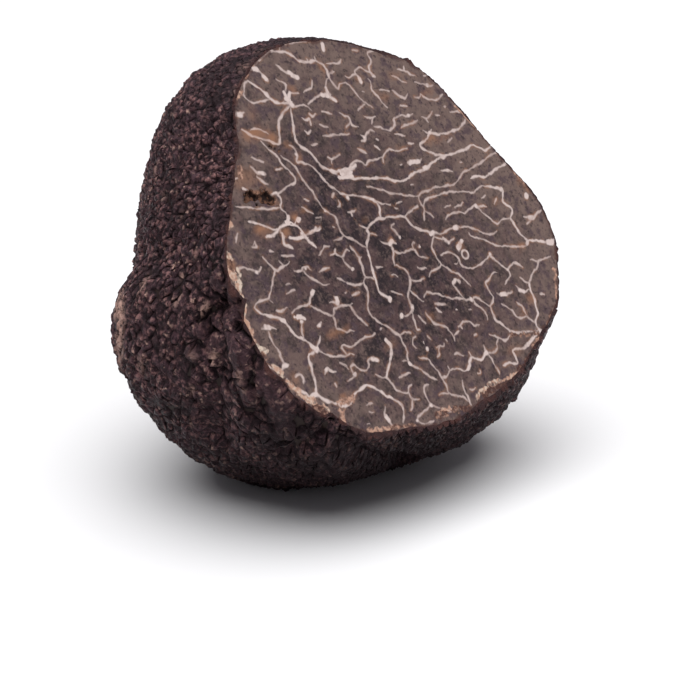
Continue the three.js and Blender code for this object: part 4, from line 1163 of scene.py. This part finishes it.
bpy.ops.object.shade_smooth_by_angle(angle=FLESH_SHARP_EDGE)
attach(flesh, "root")
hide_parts("truffle")

# ---------------------------------------------------------------------------------------------
# The colours of the rind: black in the valleys, partly its own colour and partly painted shade, as
# are the creases and grooves; brown and dull grey on the warts, with reddish and tan tips here and
# there, partly rubbed and partly painted highlight; painted shade on the underside and lower front.
# The knife left its edge dark and smooth.
# ---------------------------------------------------------------------------------------------
VALLEY = (0.004, 0.0016, 0.0022)
WART_BROWN = (0.032, 0.0135, 0.0155)
WART_GREY = (0.072, 0.038, 0.047)
RED_RUB_AND_HIGHLIGHT = (0.21, 0.108, 0.102)
TAN_WEAR_AND_HIGHLIGHT = (0.40, 0.250, 0.205)
SLICED_RIND = (0.030, 0.014, 0.0135)
SMOOTH_WART = (0.048, 0.024, 0.028)
SLICED_RUST = (0.055, 0.022, 0.018)
RIND_GLOSS = 0.19
GLOSS_TINT = (1.0, 0.76, 0.84)
# How the wart's own tint, the creases of its crumpled skin with painted shade, its ridges with painted
# highlight and rubbed red, and worn tan places with painted highlight on the tips mix: the grain's
# size in millimetres, detail and roughness, and stretches as for the flesh
TINT_RANGE = (0, 1, 0.1, 0.8)
CRUMPLED_GRAIN = (0.75, 4, 0.65)
CREASES = (0.58, 0.38, 0, 0.9)
RIDGES = (0.49, 0.64)
RUB_AND_HIGHLIGHT_GRAIN = (1.9, 2, 0.5)
RUB_AND_HIGHLIGHT_PLACES = (0.36, 0.6)
WEAR_AND_HIGHLIGHT_GRAIN = (0.9, 3, 0.5)
WEAR_AND_HIGHLIGHT_PLACES = (0.58, 0.70)
WEAR_AND_HIGHLIGHT_ABOVE = (-0.1, 0.25)
DARK_GRAIN = (5.5, 2, 0.5)
DARK_PLACES = (0.52, 0.36, 0, 0.45)
SMOOTH_WART_SHARE = 0.45
PATCH_RIDGES = (0.38, 0.5)
VALLEY_TO_WART = (-0.45, 0.05)
SLICED_GRAIN = (1.8, 3, 0.5)
SLICED_PLACES = (0.47, 0.6)
RIND_ROUGH_GRAIN = (0.8, 2, 0.5)
RIND_ROUGHNESS = (0.3, 0.7, 0.34, 0.7)
RIND_BUMP_STRENGTH = 1.0
RIND_BUMP_HEIGHT = 0.7
RIND_SHARP_EDGE = math.radians(60)
# Painted shade on the underside, growing darker towards the floor, up to this height in metres
PAINTED_SHADE_BELOW = 0.024
PAINTED_SHADE_UNDER_SHARE = 0.75
# Painted shade also darkens the rind along the lower edge of the cut: polar angle, angle round, half the
# breadth, strength
LOW_FRONT_SHADE_SHARE = 0.8
LOW_FRONT_SHADE = [(82, 258, 12.0, 0.95), (80, 240, 9.0, 0.8), (76, 285, 7.0, 0.5), (77, 218, 5.5, 0.8)]
# Rubbed and tan patches: polar angle, angle round, half their breadth and strength
PATCHES = [(111, 173.5, 1.1, 0.8), (108.5, 176, 1.3, 1.0), (108.5, 179.5, 1.3, 1.0), (111, 183, 1.2, 0.9),
           (115, 186, 1.0, 0.7), (81.5, 196.5, 0.65, 1.0), (78.7, 184.5, 0.5, 1.0), (84, 174, 0.4, 0.6),
           (98, 172, 0.8, 0.5), (120, 128, 1.6, 0.3), (112, 122, 1.8, 0.3), (86, 193, 0.5, 0.5),
           (104, 190, 0.9, 0.4), (75, 202, 0.4, 0.6), (86, 180, 0.4, 0.6), (92, 200, 0.4, 0.6),
           (67.5, 117, 1.6, 0.3), (67.5, 109, 1.6, 0.3), (66, 126, 1.2, 0.4), (90, 150, 0.5, 0.6),
           (82, 158, 0.4, 0.6), (95, 140, 0.6, 0.5), (78, 170, 0.4, 0.5)]
PATCH_TALLER = 2.0
PATCH_EDGE = 1.2
PATCH_STEEPNESS = 1.5

points = read_points(rind.data)
tip_tree = KDTree(len(tips))
for number, tip in enumerate(tips):
    tip_tree.insert(tip, number)
tip_tree.balance()
tints = random.uniform(0, 1, len(tips))
directions = points / np.linalg.norm(points, axis=1)[:, None]
paint(rind, "tint", [tints[tip_tree.find(direction)[1]] for direction in directions])
# The tan patches, and the painted shade along the lower front
for name, patches, taller in (("patch", PATCHES, PATCH_TALLER), ("low_front_shade", LOW_FRONT_SHADE, 1)):
    patched = np.zeros(len(points))
    for polar, around, half, strength in patches:
        away = from_place(directions, polar, around, taller) / half
        patched = np.maximum(patched, strength * np.clip(PATCH_STEEPNESS * (PATCH_EDGE - away), 0, 1))
    paint(rind, name, patched)
# Painted shade in the grooves round the large warts
paint(rind, "groove", groove_share(directions))
paint(rind, "smooth", smooth_share(directions))
paint(rind, "surface", above_skin(points, lump_radius))
paint(rind, "sliced", (np.abs(points @ cut_out - CUT_DISTANCE) < FACE_TOLERANCE).astype(float))

warty_rind = bpy.data.materials.new("warty rind")
warty_rind.use_nodes = True
shader = warty_rind.node_tree.nodes["Principled BSDF"]
surface = attribute(warty_rind, "surface")
tint = attribute(warty_rind, "tint")
crumpled = grain(warty_rind, *CRUMPLED_GRAIN)
wart = blend(warty_rind, between(warty_rind, tint, *TINT_RANGE), WART_BROWN, WART_GREY)
# Painted shade: the creases of the crumpled skin are darkened towards black
wart = blend(warty_rind, between(warty_rind, crumpled, *CREASES), wart, VALLEY)
# Painted highlight, with some real reddish rubbing: the ridges of the crumpled skin are lightened
rubbed_and_highlight = product(warty_rind, between(warty_rind, crumpled, *RIDGES),
                 patchy(warty_rind, RUB_AND_HIGHLIGHT_GRAIN, RUB_AND_HIGHLIGHT_PLACES))
wart = blend(warty_rind, rubbed_and_highlight, wart, RED_RUB_AND_HIGHLIGHT)
# Painted highlight, with some real tan wear: the tips of the warts are lightened in patches
worn_and_highlight = product(warty_rind, patchy(warty_rind, WEAR_AND_HIGHLIGHT_GRAIN, WEAR_AND_HIGHLIGHT_PLACES),
               between(warty_rind, surface, *WEAR_AND_HIGHLIGHT_ABOVE))
wart = blend(warty_rind, worn_and_highlight, wart, TAN_WEAR_AND_HIGHLIGHT)
wart = blend(warty_rind, patchy(warty_rind, DARK_GRAIN, DARK_PLACES), wart, VALLEY)
smooth = product(warty_rind, attribute(warty_rind, "smooth"), SMOOTH_WART_SHARE)
wart = blend(warty_rind, smooth, wart, SMOOTH_WART)
patch = product(warty_rind, attribute(warty_rind, "patch"), between(warty_rind, crumpled, *PATCH_RIDGES))
wart = blend(warty_rind, patch, wart, TAN_WEAR_AND_HIGHLIGHT)
# Painted shade: the grooves round the large warts are darkened
wart = blend(warty_rind, attribute(warty_rind, "groove"), wart, VALLEY)
# Painted shade, partly the rind's own black: the valleys between the warts are darker than the tips
colour = blend(warty_rind, between(warty_rind, surface, *VALLEY_TO_WART), VALLEY, wart)
place = node(warty_rind, "TexCoord", {}).outputs["Object"]
height = node(warty_rind, "SeparateXYZ", {0: place}).outputs["Z"]
# Painted shade: the rind grows darker towards the floor
shade_underneath = between(warty_rind, height, PAINTED_SHADE_BELOW, 0, 0, PAINTED_SHADE_UNDER_SHARE)
colour = blend(warty_rind, shade_underneath, colour, VALLEY)
# Painted shade: the lower front of the rind is darkened
low_front_shade = product(warty_rind, attribute(warty_rind, "low_front_shade"), LOW_FRONT_SHADE_SHARE)
colour = blend(warty_rind, low_front_shade, colour, VALLEY)
rusty = node(warty_rind, "Math", {0: patchy(warty_rind, SLICED_GRAIN, SLICED_PLACES),
                                  1: attribute(warty_rind, "patch")}, operation="MAXIMUM").outputs[0]
sliced = blend(warty_rind, rusty, SLICED_RIND, SLICED_RUST)
colour = blend(warty_rind, attribute(warty_rind, "sliced"), colour, sliced)
warty_rind.node_tree.links.new(colour, shader.inputs["Base Color"])
roughness = patchy(warty_rind, RIND_ROUGH_GRAIN, RIND_ROUGHNESS)
warty_rind.node_tree.links.new(roughness, shader.inputs["Roughness"])
shader.inputs["Specular IOR Level"].default_value = RIND_GLOSS
shader.inputs["Specular Tint"].default_value = (*GLOSS_TINT, 1)
bumps = node(warty_rind, "Bump", {"Height": crumpled, "Strength": RIND_BUMP_STRENGTH,
                                  "Distance": RIND_BUMP_HEIGHT * MM})
warty_rind.node_tree.links.new(bumps.outputs["Normal"], shader.inputs["Normal"])
rind.data.materials.append(warty_rind)
bpy.ops.object.select_all(action="DESELECT")
rind.select_set(True)
bpy.context.view_layer.objects.active = rind
bpy.ops.object.shade_smooth_by_angle(angle=RIND_SHARP_EDGE)
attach(rind, "root")
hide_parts("truffle")

# ---------------------------------------------------------------------------------------------
# The floor. A sheet of white paper that is wide enough for no edge to show, and that takes the
# soft shadow.
# ---------------------------------------------------------------------------------------------
FLOOR_SIZE = 12.0
FLOOR_WHITE = (0.60, 0.60, 0.605)
FLOOR_ROUGHNESS = 0.9

bpy.ops.object.select_all(action="DESELECT")
bpy.ops.mesh.primitive_plane_add(size=FLOOR_SIZE)
floor = bpy.context.object
floor.name = "floor"
paper = bpy.data.materials.new("white paper")
paper.use_nodes = True
shader = paper.node_tree.nodes["Principled BSDF"]
shader.inputs["Base Color"].default_value = (*FLOOR_WHITE, 1)
shader.inputs["Roughness"].default_value = FLOOR_ROUGHNESS
floor.data.materials.append(paper)

# ---------------------------------------------------------------------------------------------
# The light. A white room is lit by one very wide soft light overhead, which hangs a little to the
# left and a little to the front.
# ---------------------------------------------------------------------------------------------
ROOM_LIGHT = 0.27
ROOM_WHITE = (0.96, 0.91, 0.99)
OVERHEAD_FROM = (-0.06, -0.1, 1)
OVERHEAD_SPREAD = math.radians(75)
OVERHEAD_LIGHT = 5.12

world = bpy.data.worlds.new("white room")
world.use_nodes = True
walls = world.node_tree.nodes["Background"]
walls.inputs["Color"].default_value = (*ROOM_WHITE, 1)
walls.inputs["Strength"].default_value = ROOM_LIGHT
bpy.context.scene.world = world

bpy.ops.object.light_add(type="SUN", location=OVERHEAD_FROM)
overhead = bpy.context.object
overhead.name = "light overhead"
overhead.data.angle = OVERHEAD_SPREAD
overhead.data.energy = OVERHEAD_LIGHT
overhead.rotation_euler = Vector(OVERHEAD_FROM).to_track_quat("Z", "Y").to_euler()

# ---------------------------------------------------------------------------------------------
# The camera. It stands before the lump, nearly twice as high as its top, and looks slightly down
# on it.
# ---------------------------------------------------------------------------------------------
CAMERA_PLACE = (5.61, -290.17, 114.89)
CAMERA_PITCH = math.radians(71.515)
# Half the picture's width and the distance at which it is that wide, in one unit
CAMERA_HALF_WIDTH = 350
CAMERA_LENGTH = 2028
CAMERA_NEAREST = 0.01

camera_data = bpy.data.cameras.new("camera")
camera_data.angle = 2 * math.atan(CAMERA_HALF_WIDTH / CAMERA_LENGTH)
camera_data.clip_start = CAMERA_NEAREST
camera = bpy.data.objects.new("camera", camera_data)
camera.location = Vector(CAMERA_PLACE) * MM
camera.rotation_euler = (CAMERA_PITCH, 0, 0)
bpy.context.collection.objects.link(camera)
bpy.context.scene.camera = camera
bpy.context.scene.view_settings.view_transform = "Standard"
